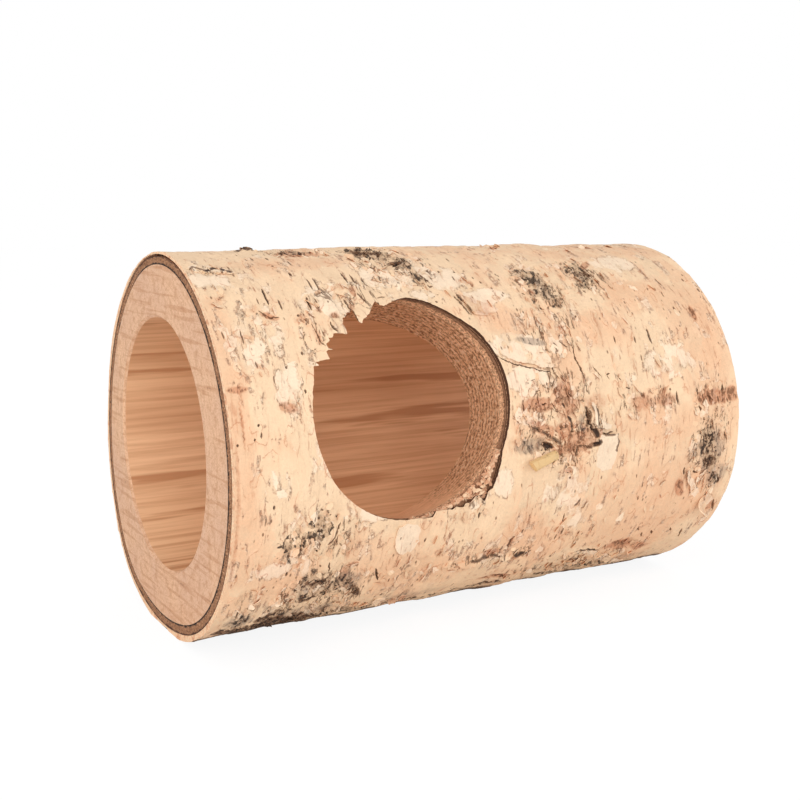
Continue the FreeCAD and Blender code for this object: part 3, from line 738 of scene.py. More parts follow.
class Surface:
    """One side of a tube layer as triangles over x and the girth, cut open at the seam and
    joined up there again, with its loops at both ends and round the doorway."""

    def __init__(self, section, row_lifts, spacing_at, door_loop, inlays=None):
        self.section = section
        girth = row_lifts * MM_PER_DEGREE
        count = len(girth)
        ends = [np.stack([np.full(count, x), girth], axis=1) for x in (NEAR, FAR)]
        seam_x = graded(NEAR, FAR, lambda x: spacing_at(row_lifts[0]))[1:-1]
        seams = [np.stack([seam_x, np.full(len(seam_x), y)], axis=1) for y in (girth[0], girth[-1])]
        door_x, door_lift = doorway_places(section, *door_loop)
        door = np.stack([door_x, door_lift * MM_PER_DEGREE], axis=1)
        inner = self.rows(row_lifts, spacing_at)
        inner = inner[self.clear_of(door, inner, spacing_at)]
        laid = np.zeros((0, 2))
        if inlays is not None:
            inner = inner[inlays.free(inner)]
            laid = np.array(inlays.points)
        parts = [ends[0], ends[1], seams[0], seams[1], door, laid, inner]
        starts = np.cumsum([0] + [len(part) for part in parts])
        near, far, seam_low, seam_high, door_ids = [
            np.arange(a, b) for a, b in zip(starts[:5], starts[1:6])]
        lines = list(zip(door_ids, np.roll(door_ids, -1)))
        for run in (near, far, np.r_[near[0], seam_low, far[0]], np.r_[near[-1], seam_high, far[-1]]):
            lines += list(zip(run[:-1], run[1:]))
        if inlays is not None:
            lines += [(a + starts[5], b + starts[5]) for a, b in inlays.lines]
        flat = np.concatenate(parts)
        places, triangles, origins = triangulated(flat, lines)
        triangles = triangles[~within(door, places[triangles].mean(1))]
        source = np.array([origin[0] if origin else -1 for origin in origins])
        order = np.full(len(flat), -1)
        order[source[source >= 0]] = np.flatnonzero(source >= 0)
        merge = np.arange(len(places))
        merge[order[near[-1]]], merge[order[far[-1]]] = order[near[0]], order[far[0]]
        merge[order[seam_high]] = order[seam_low]
        self.uneven = merge[triangles]
        self.flat_triangles = triangles
        self.x, self.lift = places[:, 0], places[:, 1] / MM_PER_DEGREE
        self.near, self.far = order[near[:-1]], order[far[:-1]]
        self.door = order[door_ids]
        self.dark, self.cut = np.zeros(len(places)), np.zeros(len(places))
        if inlays is not None:
            ids = order[np.arange(starts[5], starts[6])]
            self.dark[ids], self.cut[ids] = inlays.dark, inlays.height

    @staticmethod
    def rows(row_lifts, spacing_at):
        """Points in staggered rows inside the surface."""
        found = []
        last = row_lifts[0]
        for lift in row_lifts[1:-1]:
            spacing = spacing_at(lift)
            if (lift - last) * MM_PER_DEGREE < 0.8 * spacing:
                continue
            if (row_lifts[-1] - lift) * MM_PER_DEGREE < 0.8 * spacing:
                break
            last = lift
            steps = int((FAR - NEAR) / spacing)
            x = NEAR + (np.arange(1, steps) + 0.5 * (len(found) % 2)) * (FAR - NEAR) / (steps + 0.5)
            found.append(np.stack([x, np.full(len(x), lift * MM_PER_DEGREE)], axis=1))
        return np.concatenate(found)

    def clear_of(self, door, points, spacing_at):
        """Which points lie outside the doorway and not too close to its edge."""
        keep = ~within(door, points)
        size = 0.45 * min(spacing_at(DOOR_LIFT), 1.2)
        low, high = door.min(0) - size, door.max(0) + size
        near = np.flatnonzero(keep & np.all((points > low) & (points < high), axis=1))
        for start in range(0, len(near), CHUNK):
            some = near[start:start + CHUNK]
            gap = np.linalg.norm(points[some][:, None] - door[None], axis=2).min(1)
            keep[some[gap < size]] = False
        return keep

    def lay(self, height=0.0):
        """Set the points of the surface, height above its section."""
        self.points = spots(self.x, self.lift, self.section.at(self.lift) + height)


class Skin:
    """Mesh in the making: points in millimetres, faces with a finish number and map places."""

    def __init__(self):
        self.points, self.faces, self.finish, self.maps, self.values = [], [], [], [], {}
        self.count = 0

    def add_points(self, points, **values):
        """Add points, with values of the named surface fields, and give their numbers."""
        numbers = np.arange(self.count, self.count + len(points))
        self.points.append(np.asarray(points, float))
        for name in {**self.values, **values}:
            column = self.values.setdefault(name, [np.zeros(self.count)])
            column.append(np.broadcast_to(values.get(name, 0.0), len(points)).astype(float))
        self.count += len(points)
        return numbers

    def add_faces(self, faces, map_places, finish=0):
        """Add faces, all with the same number of corners, and their places on the map."""
        self.faces.append(np.asarray(faces))
        self.maps.append(np.asarray(map_places, float))
        self.finish.append(np.full(len(faces), finish))

    def object(self, name, materials, sharp=38.0):
        """Blender object of the mesh, with outward faces and smooth shading."""
        points = np.concatenate(self.points)
        points[:, 2] = np.maximum(points[:, 2], GROUND_GAP)
        faces = [face for group in self.faces for face in group.tolist()]
        mesh = bpy.data.meshes.new(name)
        mesh.from_pydata((points * MM).tolist(), [], faces)
        mesh.polygons.foreach_set("material_index", np.concatenate(self.finish))
        for field, columns in self.values.items():
            layer = mesh.attributes.new(field, "FLOAT", "POINT")
            layer.data.foreach_set("value", np.concatenate(columns))
        layer = mesh.uv_layers.new(name="OFBake")
        layer.data.foreach_set("uv", np.concatenate([m.reshape(-1, 2) for m in self.maps]).ravel())
        shape = bmesh.new()
        shape.from_mesh(mesh)
        loose = [vertex for vertex in shape.verts if not vertex.link_faces]
        bmesh.ops.delete(shape, geom=loose, context="VERTS")
        bmesh.ops.recalc_face_normals(shape, faces=shape.faces)
        shape.to_mesh(mesh)
        shape.free()
        mesh.shade_smooth()
        mesh.set_sharp_from_angle(angle=math.radians(sharp))
        for material in materials:
            mesh.materials.append(material)
        piece = bpy.data.objects.new(name, mesh)
        bpy.context.collection.objects.link(piece)
        return piece


def dress(piece, slot, *nodes):
    """Fix a piece to the log and hide the CAD nodes that it stands for. slot, the name of its finish, is
    not used.
    """
    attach(piece, "root")
    if nodes:
        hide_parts(*nodes)


# Bands of the map: where each side of a tube layer lies on it, from bottom to top.
OUTER_BAND, INNER_BAND, NEAR_BAND, FAR_BAND, DOOR_BAND = (
    (0.0, 0.55), (0.56, 0.78), (0.79, 0.85), (0.86, 0.92), (0.93, 0.99))


def tube_layer(skin, outer, inner, steps, wander, finishes, fields):
    """Join an outer and an inner surface over the sawn ends and round the doorway.

    steps is the number of strips over an edge, wander moves the points of an edge, and
    fields gives the surface fields at points.
    """
    for side, band, finish in ((outer, OUTER_BAND, finishes[0]), (inner, INNER_BAND, finishes[1])):
        side.ids = skin.add_points(side.points, **fields(side))
        across = (side.lift - SEAM_LIFT) / 360
        along = band[0] + (side.x - NEAR) / (FAR - NEAR) * (band[1] - band[0])
        places = np.stack([across, along], axis=1)
        skin.add_faces(side.ids[side.uneven], places[side.flat_triangles], finish)
    for where, band in (("near", NEAR_BAND), ("far", FAR_BAND), ("door", DOOR_BAND)):
        top, under = getattr(outer, where), getattr(inner, where)
        loops = [outer.ids[top]]
        for step in range(1, steps):
            share = step / steps
            points = outer.points[top] * (1 - share) + inner.points[under] * share
            values = {name: column[top] * (1 - share) for name, column in fields(outer).items()}
            loops.append(skin.add_points(wander(points, share, where), **values))
        loops.append(inner.ids[under])
        join_all(skin, loops, *band, finish=finishes[3] if where == "door" else finishes[2])


def join_all(skin, rings, low=0.0, high=0.95, finish=0, capped=False):
    """Faces from each closed loop of points to the next, laid on a band of the map."""
    count = len(rings[0])
    turn = np.arange(count + 1) / count
    marks = np.linspace(low, high, len(rings))
    for first, second, start, stop in zip(rings, rings[1:], marks, marks[1:]):
        corners = ((turn[:-1], start), (turn[:-1], stop), (turn[1:], stop), (turn[1:], start))
        places = np.stack([np.stack([u, np.full(count, v)], axis=1) for u, v in corners], axis=1)
        faces = np.stack([first, second, np.roll(second, -1), np.roll(first, -1)], axis=1)
        skin.add_faces(faces, places, finish)
    if capped:
        round_map = 0.975 + 0.02 * np.stack([np.cos(6.28 * turn[1:]), np.sin(6.28 * turn[1:])], axis=1)
        for ring in (rings[0][::-1], rings[-1]):
            skin.add_faces([ring], [round_map], finish)


def row_lifts():
    """Lifts of the rows of points round the log, closer on the doorway side."""
    return graded(SEAM_LIFT, SEAM_LIFT + 360, lambda lift: bark_spacing(lift) / MM_PER_DEGREE)


def bark_spacing(lift):
    """Distance between the bark's points at a lift."""
    size = sizes()
    close = size.bark_spacing / MM * 1.0
    front = smooth(-80, -62, lift) * smooth(112, 94, lift)
    return float(size.back_spacing / MM * (1 - front) + close * front)


def bark_fields(x, lift):
    """Surface fields of the paper bark at places."""
    fields = {name: patchy(x, lift, patches) for name, patches in PATCHES.items()}
    return {**fields, "layers": layering(spots(x, lift, BARK_TOP.at(lift)))}


def drawn_lines(x, lift):
    """Darkness of the cracks and strokes at places, for pieces that lie over the bark."""
    strokes = [(width, dark, [(at, high), (at, low)]) for at, high, low, width, dark in STROKES]
    points = np.stack([x, lift * MM_PER_DEGREE], axis=1)
    low, high = points.min(0) - 1, points.max(0) + 1
    cover = np.zeros(len(x))
    for width, dark, places in CRACKS + strokes:
        corners = np.array(places) * [1, MM_PER_DEGREE]
        for first, second in zip(corners, corners[1:]):
            if np.any(np.maximum(first, second) < low) or np.any(np.minimum(first, second) > high):
                continue
            way = second - first
            share = np.clip((points - first) @ way / (way @ way), 0, 1)
            gap = np.linalg.norm(points - first - share[:, None] * way, axis=1)
            cover = np.maximum(cover, dark * smooth(0.5 * width + 0.3, 0.2 * width, gap))
    return cover


def build_outer_bark():
    """The paper bark with its relief, cracks, dashes and torn doorway edge."""
    lifts = row_lifts()
    loop = torn_loop()
    outer = Surface(BARK_TOP, lifts, bark_spacing, loop, bark_inlays())
    inner = Surface(BARK_UNDER, lifts, lambda lift: UNDERSIDE_SPACING, loop)
    inside = DOOR_RADIUS - doorway_distance(outer.x, outer.lift)
    relief = bark_relief(outer.x, outer.lift) + outer.cut + 0.8 * smooth(0.5, 6.0, inside)
    outer.lay(relief)
    tongue = smooth(0.6, 2.6, DOOR_RADIUS - loop[1])
    under = np.zeros(len(inner.x))
    under[inner.door] = (1.1 + np.minimum(relief[outer.door], 1.2)) * tongue
    inner.lay(under)

    def fray(points, share, where):
        if where == "door":
            return points
        shift = 0.4 * clouds(points, 0.9, 2, 3.0, 13.0)
        points = points.copy()
        points[:, 0] += shift
        return points

    skin = Skin()
    # Depth 2.4 paints the torn edge round the doorway nearly black: painted shade under the torn tongues.
    tube_layer(skin, outer, inner, 4, fray, (0, 1, 1, 2),
               lambda side: {**bark_fields(side.x, side.lift), "dark": side.dark,
                             "depth": np.full(len(side.x), 2.4)})
    finishes = [paper_bark_finish(), bark_edge_finish(), bast_doorway_finish()]
    dress(skin.object("birch_bark", finishes), "outer_bark", "outer_bark")


def build_inner_bark():
    """The brown bast under the paper bark, seen at the sawn ends and at the doorway."""
    lifts = row_lifts()
    loop = round_loop(DOOR_RADIUS + 0.05)
    outer = Surface(BAST_TOP, lifts, lambda lift: HIDDEN_SPACING, loop)
    inner = Surface(BAST_UNDER, lifts, lambda lift: HIDDEN_SPACING, loop)
    outer.lay(-0.6 * near_top(outer.x, outer.lift))
    inner.lay()

    def fray(points, share, where):
        points = points.copy()
        rough = clouds(points, 0.8, 3, 1.0, 17.0) * math.sin(math.pi * share)
        if where == "door":
            points += doorway_arms(points) * (0.25 + 0.3 * rough)[:, None]
        else:
            points[:, 0] += 0.45 * rough + (0.12 if where == "near" else -0.12)
        return points

    def depth(side):
        return {"depth": np.full(len(side.x), float(side is outer)), "rust": np.full(len(side.x), 0.8)}

    skin = Skin()
    tube_layer(skin, outer, inner, 7, fray, (2, 0, 0, 1), depth)
    finishes = [bast_finish(), bast_doorway_finish(), bast_chip_finish()]
    dress(skin.object("bast_layer", finishes), "inner_bark", "inner_bark")


def build_wood():
    """The bored wood with its sawn ends and the cut of the doorway."""
    lifts = row_lifts()
    spacing = sizes().wood_spacing / MM * 1.0
    outer = Surface(WOOD_TOP, lifts, lambda lift: HIDDEN_SPACING, round_loop(DOOR_RADIUS))
    inner = Surface(BORE, lifts, lambda lift: spacing, round_loop(DOOR_RADIUS))
    outer.lay()
    inner.lay()
    streaks = clouds(inner.points, 60.0, 3, 0.03, 2.0)
    inner.lay(0.07 * streaks)
    eased = np.r_[inner.near, inner.far]
    inner.points[eased, 0] *= 1 - MOUTH_EASE / FAR
    steps = 16

    def saw(points, share, where):
        points = points.copy()
        if where == "door":
            away = doorway_arms(points)
            coarse = np.maximum(away[:, 0], away[:, 2]).clip(0) ** 2
            points += away * ((0.05 + 0.3 * coarse) * clouds(points, 1.1, 3, 1.0, 8.0))[:, None]
            return points
        side = -1 if where == "near" else 1
        points[:, 0] = side * FAR - side * 0.03 * (1 + clouds(points, 5.0, 3, 1.0, 6.0))
        radius = np.hypot(points[:, 1], points[:, 2] - AXIS_HEIGHT)
        if share > 1 - 1.5 / steps:
            scale = (BORE_RADIUS + MOUTH_EASE) / radius
            points[:, 1] *= scale
            points[:, 2] = AXIS_HEIGHT + (points[:, 2] - AXIS_HEIGHT) * scale
        return points

    skin = Skin()
    tube_layer(skin, outer, inner, steps, saw, (0, 1, 0, 2), lambda side: {})
    finishes = [sawn_wood_finish(), bored_wood_finish(), doorway_wood_finish()]
    dress(skin.object("birch_wood", finishes, sharp=32.0), "birch_wood", "wood_wall")


# --- Loose bark ---


def scrap(skin, corners, height_at, thickness, spacing, ragged, shift, **values):
    """Thin or thick scrap over a torn outline of x and lift, with height_at above the bark."""
    corners = np.array([(x, lift * MM_PER_DEGREE) for x, lift in corners])
    corners = np.concatenate([corners, corners[:1]])
    run = distances(corners)
    steps = np.arange(0, run[-1], 0.8 * spacing)
    ring = np.stack(line_at(corners, run, steps), axis=1)
    level = np.insert(ring, 2, 0.0, axis=1)
    ring = ring + ragged * np.stack([clouds(level, 1.7, 3, 1.0, shift + k) for k in (0, 40)], axis=1)
    low, high = ring.min(0), ring.max(0)
    grid_x = np.arange(low[0], high[0], spacing)
    grid_y = np.arange(low[1], high[1], spacing * 0.87)
    x, y = np.meshgrid(grid_x, grid_y)
    x = x + spacing / 2 * (np.arange(len(grid_y)) % 2)[:, None]
    grid = np.stack([x.ravel(), y.ravel()], axis=1)
    grid = grid[within(ring, grid)]
    gap = np.linalg.norm(grid[:, None] - ring[None], axis=2).min(1)
    grid = grid[gap > 0.4 * spacing]
    count = len(ring)
    flat = np.concatenate([ring, grid])
    lines = [(i, (i + 1) % count) for i in range(count)]
    places, triangles, _ = triangulated(flat, lines)
    triangles = triangles[within(ring, places[triangles].mean(1))]
    x, lift = places[:, 0], places[:, 1] / MM_PER_DEGREE
    edge_gap = np.linalg.norm(places[:, None] - ring[None], axis=2).min(1)
    base = bark_radius(x, lift)
    top = base + height_at(x, lift, edge_gap)
    fields = {**bark_fields(x, lift), "dark": drawn_lines(x, lift), **values}
    span = (high - low).max() + 1e-6
    flat_map = (places - low) / span * 0.48
    above = skin.add_points(spots(x, lift, top), **fields)
    below = skin.add_points(spots(x, lift, top - thickness), **fields)
    skin.add_faces(above[triangles], flat_map[triangles])
    skin.add_faces(below[triangles[:, ::-1]], flat_map[triangles[:, ::-1]] + 0.5)
    join_all(skin, [above[:count], below[:count]], 0.97, 1.0)


# Corky plates: CAD node, and x and lift of the outline's corners.
CORKY_PLATES = {
    "corky_plate_top": [
        (-36, 78), (-28, 80), (-22, 74), (-18, 68), (-17, 61), (-14, 54), (-18, 50),
        (-23, 56), (-28, 62), (-31, 69), (-37, 73)],
    "corky_plate_upper_middle": [
        (15, 57), (20, 61), (26, 60), (29, 53), (30, 45), (26, 42), (21, 43), (18, 50)],
    "corky_plate_upper_right": [
        (37, 61), (44, 64), (51, 63), (50, 57), (48, 49), (42, 46), (39, 53)],
    "corky_plate_right_end": [
        (74, 1), (80, 2), (84, -3), (87, -11), (86, -18), (79, -16), (75, -9)],
    "corky_plate_left": [
        (-80, -16), (-71, -11), (-66, -8), (-59, -12), (-62, -19), (-69, -21), (-77, -25),
        (-83, -22)],
    "corky_plate_lower_left": [
        (-72, -28), (-62, -29), (-54, -34), (-48, -38), (-47, -45), (-56, -46), (-66, -43),
        (-73, -37)],
    "corky_plate_underside": [
        (-91, -48), (-82, -51), (-72, -50), (-60, -53), (-50, -55), (-52, -60), (-70, -61),
        (-88, -58)],
}


def build_corky_plates():
    """The rough plates, whose ridges rise out of the paper bark."""
    finish = paper_bark_finish()
    for number, (node, corners) in enumerate(CORKY_PLATES.items()):
        skin = Skin()

        def ridges(x, lift, gap):
            points = spots(x, lift, BARK_TOP.at(lift))
            rough = 1 - 2.4 * np.abs(clouds(points, 2.6, 3, 1.0, 40.0 + number))
            rough += 0.5 * clouds(points, 0.9, 2, 1.0, 60.0)
            inward = smooth(0.0, 2.5, gap)
            return -0.55 + inward * (0.35 + 0.55 * sizes().cork_height / MM * rough)

        scrap(skin, corners, ridges, 0.9, spacing=0.55, ragged=1.2, shift=3.0 * number, cork=0.9,
              layers=0.5)
        dress(skin.object(node + "_relief", [finish]), "corky_bark", node)


# Loose sheets: CAD node, and for each sheet its corners, how far it lifts at its free end, heading
# of the free end over the log, where 0 is +X and 90 is upwards, thickness, rust and paleness.
BARK_SHEETS = {
    "bark_sheet_over_knot": [
        ([(-2.6, 33.6), (3, 34.4), (15, 32), (19, 32.6), (21.6, 30), (20.4, 26), (17, 22.4),
          (13, 22.6), (1, 25.6), (-2.6, 27.4)], 0.9, 268, 0.3, 0, 0.35)],
    "bark_flake_under_doorway": [
        ([(-41.4, -18.6), (-38.4, -17.8), (-35, -18.4), (-33.2, -20.4), (-32.8, -24), (-34.2, -27.2),
          (-38, -28), (-41, -25.6), (-41.8, -22)], 0.9, 190, 0.4, 0, 0.9)],
    "bark_sheet_right_end": [
        ([(70.6, -13), (73, -14.6), (80.6, -22.6), (79, -24), (76.4, -22.6), (71.4, -15.6)],
          1.5, 200, 0.4, 0, 0.7)],
    "bark_sheet_lower_middle": [
        ([(-15, -37), (-7, -34), (-2, -35), (2, -31.6), (4.6, -32), (7, -34.4), (10, -35), (13, -37),
          (10.6, -39.4), (8, -38.6), (5, -39.8), (1, -37.8), (-2, -38.6), (-6, -38.4), (-9, -40)],
          1, 268, 0.4, 0.3, 0.2)],
    "bark_strip_underside": [
        ([(35, -41.4), (39, -41.2), (44, -42.4), (68, -57.4), (63, -58), (46, -47.8), (38, -44.4)],
          1.2, 262, 0.4, 0, 0.5)],
    "bark_flake_near_end": [
        ([(-92, 65.8), (-89, 67), (-83, 66), (-80, 64), (-79.4, 61), (-91, 63.4)],
          0.8, 275, 0.4, 0, 0.5)],
    "bark_curl_doorway": [
        ([(-10.2, 48.2), (-7.4, 40.8), (-3.6, 40.4), (0.6, 41.2), (3.4, 42.6), (1.2, 44.6)],
          1.3, 182, 0.5, 0.42, 0.3)],
    "bark_splinters_knot": [
        ([(3.2, 7), (13, 4.2), (15.6, 2.8), (17.2, 0.6), (15.8, -0.6), (13.4, 1.2), (4, 5)],
          1.1, 262, 0.5, 0.42, 0.1),
        ([(14.8, 1.4), (18.4, 2.2), (22, 0.9), (29, 3.4), (32.2, 3.1), (30, 1), (22.6, -4.2),
          (19.6, -3.2), (16.4, -5.2), (13.6, -2.6)], 1.5, 80, 0.9, 0.6, 0),
        ([(16.6, 5.8), (20.4, 7.4), (24, 5), (23.2, 2.8), (20, 3.6), (17, 3.4)],
          0.9, 270, 0.5, 0.35, 0)],
    "bark_curl_knot_upper": [
        ([(27.9, 11.4), (30.6, 10.8), (31.8, 7.4), (31, 3.6), (29.4, 3.6)], 1.7, 182, 0.4, 0, 1),
        ([(31.3, 5.9), (36.2, 4.2), (36, 2.7), (31.6, 3.4)], 1.1, 200, 0.3, 0, 0.8)],
    "bark_curl_knot_lower": [
        ([(31.2, 1.6), (38, 1.5), (38.7, -1), (37.6, -9.2), (34, -9.8), (31, -8.4), (30.2, -4)],
          1.7, 62, 0.4, 0, 1)],
}


def build_loose_bark(nodes, ending):
    """Loose sheets, flakes and curling strips of paper bark, one piece for each CAD node."""
    for number, node in enumerate(nodes):
        skin = Skin()
        for index, (corners, lifted, heading, thickness, rust, pale) in enumerate(
                BARK_SHEETS.get(node, [])):
            course = math.radians(heading)
            middle = np.mean(corners, axis=0)

            def toward(x, lift):
                across, up = x - middle[0], (lift - middle[1]) * MM_PER_DEGREE
                return across * math.cos(course) + up * math.sin(course)

            reach = max(toward(x, lift) for x, lift in corners)

            def raised(x, lift, gap):
                share = smooth(-0.9, 1.0, toward(x, lift) / reach)
                waves = clouds(spots(x, lift, BARK_TOP.at(lift)), 5.0, 2, 1.0, 70.0 + number)
                return 0.06 + lifted * share ** 2 * (0.8 + 0.5 * waves)

            scrap(skin, corners, raised, thickness, spacing=0.6, ragged=0.55,
                  shift=9.0 + number + 0.37 * index, pale=pale, rust=rust, layers=0.5)
        if node == "bark_splinters_knot":
            build_stick(skin)
        for index, strip in enumerate(BARK_CURLS.get(node, [])):
            curl(skin, strip, sizes().paper_thickness / MM, 3.1 * number + 1.3 * index)
        dress(skin.object(node + ending, [paper_bark_finish()]), "paper_bark", node)


# Both ends of the broken stick: x, lift and height over the bark.
STICK_ENDS = ((4.0, -5.0, 2.0), (13.6, -2.7, 1.0))


def build_stick(skin):
    """Broken stick at the branch scar, with its cut end to the left."""
    first, last = [spots(x, lift, BARK_TOP.at(lift) + rise) for x, lift, rise in STICK_ENDS]
    ahead = (last - first) / np.linalg.norm(last - first)
    out = outward(-4.5)
    turn = np.radians(np.arange(0, 360, 20))
    rings = []
    for share in np.linspace(0, 1, 12):
        reach = 1.9 - 0.4 * share + 0.12 * np.cos(5 * turn + 2 * share)
        ring = first + share * (last - first) + np.outer(np.cos(turn) * reach, np.cross(ahead, out))
        ring += np.outer(0.8 * np.sin(turn) * reach, out)
        ring += np.outer(0.7 * (share == 0) * np.cos(turn), ahead)
        rings.append(skin.add_points(ring, layers=0.5, wood=1.0))
    join_all(skin, rings, 0.49, 0.51, capped=True)


def flake(skin, random, root, heading, lift, size, thickness, lifted, values):
    """Small torn plate at root, pointed along heading over the log, with one side lifted."""
    out = outward(lift)
    ahead = math.cos(heading) * np.array([1.0, 0, 0]) + math.sin(heading) * upward(lift)
    corners = 9
    turn = np.radians(np.arange(corners) * 360 / corners + random.uniform(-14, 14, corners))
    along = np.append(size[0] * np.cos(turn) * random.uniform(0.6, 1.25, corners), 0.0)
    across = np.append(size[1] * np.sin(turn) * random.uniform(0.6, 1.25, corners), 0.0)
    rise = lifted * smooth(-0.8, 1.0, random.choice([-1, 1]) * across / size[1]) ** 2
    top = root + np.outer(along, ahead) + np.outer(across, np.cross(ahead, out)) + np.outer(rise, out)
    above = skin.add_points(top, **values)
    below = skin.add_points(top - thickness * out, **{**values, "rust": 0.8})
    rim = np.arange(corners)
    fan = np.stack([np.full(corners, corners), rim, np.roll(rim, -1)], axis=1)
    flat = random.uniform(0.05, 0.9, 2) + 0.03 * np.stack([along, across], axis=1)
    skin.add_faces(above[fan], flat[fan])
    skin.add_faces(below[fan[:, ::-1]], flat[fan[:, ::-1]])
    join_all(skin, [above[:-1], below[:-1]], 0.97, 0.98)


def build_bark_scales():
    """Small scales that stand off the torn regions of the paper bark."""
    random = np.random.default_rng(sizes().seed + 2)
    skin = Skin()
    places = []
    for middle_x, middle_lift, half_x, half_up, _, strength in SCALY:
        for _ in range(int(0.36 * strength * half_x * half_up)):
            reach, turn = spread(random)
            x = middle_x + reach * half_x * math.cos(turn)
            lift = middle_lift + reach * half_up * math.sin(turn) / MM_PER_DEGREE
            clear = doorway_distance(x, lift) > DOOR_RADIUS + 2.5
            if clear and NEAR + END_GAP < x < FAR - END_GAP:
                places.append((x, lift))
    x, lift = np.array(places).T
    fields = bark_fields(x, lift)
    roots = spots(x, lift, bark_radius(x, lift) + 0.02)
    for number, root in enumerate(roots):
        values = {name: 0.8 * column[number] for name, column in fields.items()}
        values.update(pale=random.uniform(0, 0.5), peach=random.uniform(0, 0.7), layers=0.5)
        size = random.uniform(0.8, 2.3), random.uniform(0.4, 1.1)
        heading = math.radians(random.normal(90, 28))
        flake(skin, random, root, heading, lift[number], size, 0.22, random.uniform(0.25, 1.0), values)
    dress(skin.object("bark_scales", [paper_bark_finish()], sharp=30.0), "paper_bark")


# Curling strips: CAD node, and for each strip x and lift of its root, heading, width, radius of
# the curl, turn in degrees, straight run before the curl, and values of rust and paleness.
BARK_CURLS = {
    "bark_curl_knot_lower": [(19.0, -8.4, 76, 2.6, 1.7, 250, 0.6, 0.1, 0.5)],
    "bark_curl_right_end": [(86.4, -24.0, 232, 5.0, 3.6, 110, 3.0, 0.1, 0.8)],
    "bark_curls_underside": [
        (-37.0, -50.0, 262, 3.6, 9.0, 24, 0.5, 0.0, 0.7),
        (-31.0, -53.0, 285, 3.0, 9.0, 20, 0.5, 0.1, 0.5),
        (-28.0, -51.0, 262, 2.2, 9.0, 20, 0.5, 0.3, 0.2)],
}


def curl(skin, strip, thickness, shift):
    """Strip that leaves the bark and rolls up, with a torn end."""
    x, lift, heading, width, radius, turn, run, rust, pale = strip
    course = math.radians(heading)
    out = outward(lift)
    up = upward(lift)
    ahead = np.array([math.cos(course), 0, 0]) + math.sin(course) * up
    side = np.cross(ahead, out)
    root = spots(np.array([x]), np.array([lift]), bark_radius(np.array([x]), np.array([lift])))[0]
    length = run + radius * math.radians(turn)
    across_count = max(5, int(width / 0.5))
    along_count = max(8, int(length / 0.45))
    across = np.linspace(-0.5, 0.5, across_count)
    grid = []
    for share in np.linspace(0, 1, along_count):
        row = []
        for place in across:
            torn = 1 - 0.28 * abs(noise.fractal((place * 5, shift, 3.0), 1.0, 2.0, 3)) * 2
            reach = share * length * min(1.0, torn)
            waist = 1 - 0.12 * noise.noise((share * 3, shift, 5.0)) - 0.25 * share ** 3
            bend = max(0.0, reach - run) / radius
            forward = min(reach, run) + radius * math.sin(bend)
            rise = radius * (1 - math.cos(bend)) + 0.15
            sag = 0.5 * (place * 2) ** 2 * 0.4
            row.append(root + ahead * forward + out * (rise + sag) + side * place * width * waist)
        grid.append(row)
    grid = np.array(grid)
    along, over = np.gradient(grid, axis=0), np.gradient(grid, axis=1)
    normal = np.cross(along, over)
    normal /= np.linalg.norm(normal, axis=2)[:, :, None]
    top = skin.add_points((grid + normal * thickness / 2).reshape(-1, 3),
                          rust=rust, pale=pale, layers=0.5)
    under = skin.add_points((grid - normal * thickness / 2).reshape(-1, 3),
                            rust=min(1.0, rust + 0.35), pale=pale * 0.4, layers=0.5)
    rows, columns = grid.shape[:2]
    number = np.arange(rows * columns).reshape(rows, columns)
    quads = np.stack([number[:-1, :-1], number[1:, :-1], number[1:, 1:], number[:-1, 1:]], axis=-1)
    quads = quads.reshape(-1, 4)
    places = np.stack([number % columns / columns, number // columns / rows], axis=-1).reshape(-1, 2)
    slot_x = 0.24 * (int(skin.count / 997) % 4)
    places = places * 0.22 + [slot_x, 0.0]
    skin.add_faces(top[quads], places[quads])
    skin.add_faces(under[quads[:, ::-1]], places[quads[:, ::-1]] + [0, 0.3])
    border = np.r_[number[0, :-1], number[:-1, -1], number[-1, :0:-1], number[:0:-1, 0]]
    join_all(skin, [top[border], under[border]], 0.9, 0.92)


def lay_ring(skin, turn, reach, stretch, height_at, **values):
    """Ring of points round the branch scar, height_at above the bark's solid."""
    x = KNOT_X + stretch * reach * np.cos(turn)
    lift = KNOT_LIFT + reach * np.sin(turn) / MM_PER_DEGREE
    base = spots(x, lift, BARK_TOP.at(lift))
    lines = np.minimum(1.0, 1.15 * drawn_lines(x, lift))
    radius = BARK_TOP.at(lift) + height_at(x, lift, base) - 0.6 * lines
    return skin.add_points(
        spots(x, lift, radius), **{**bark_fields(x, lift), "dark": lines, **values})


def build_branch_scar():
    """The broken branch, splintered and flush with the bark."""
    turn = np.linspace(0, 2 * math.pi, 120, endpoint=False)
    ragged = KNOT_RADIUS * (1 + 0.1 * np.cos(3 * turn + 1) + 0.05 * np.cos(7 * turn))
    skin = Skin()
    rings = []
    for share in np.linspace(0.04, 1.0, 16):
        crown = 0.5 * math.sin(3 * share) - 0.4
        rings.append(lay_ring(skin, turn, share * ragged, 1.15, lambda x, lift, base: (
            crown + 1.1 * smooth(0.1, 0.6, share) * clouds(base, 1.3, 3, 1.0, 50.0)), cork=0.3))
    for share, height in ((1.06, -1.8), (0.5, -6.0)):
        rings.append(lay_ring(skin, turn, share * ragged, 1.15, lambda x, lift, base: height))
    join_all(skin, rings, capped=True)
    dress(skin.object("branch_stub", [paper_bark_finish()]), "knot_wood", "branch_knot")


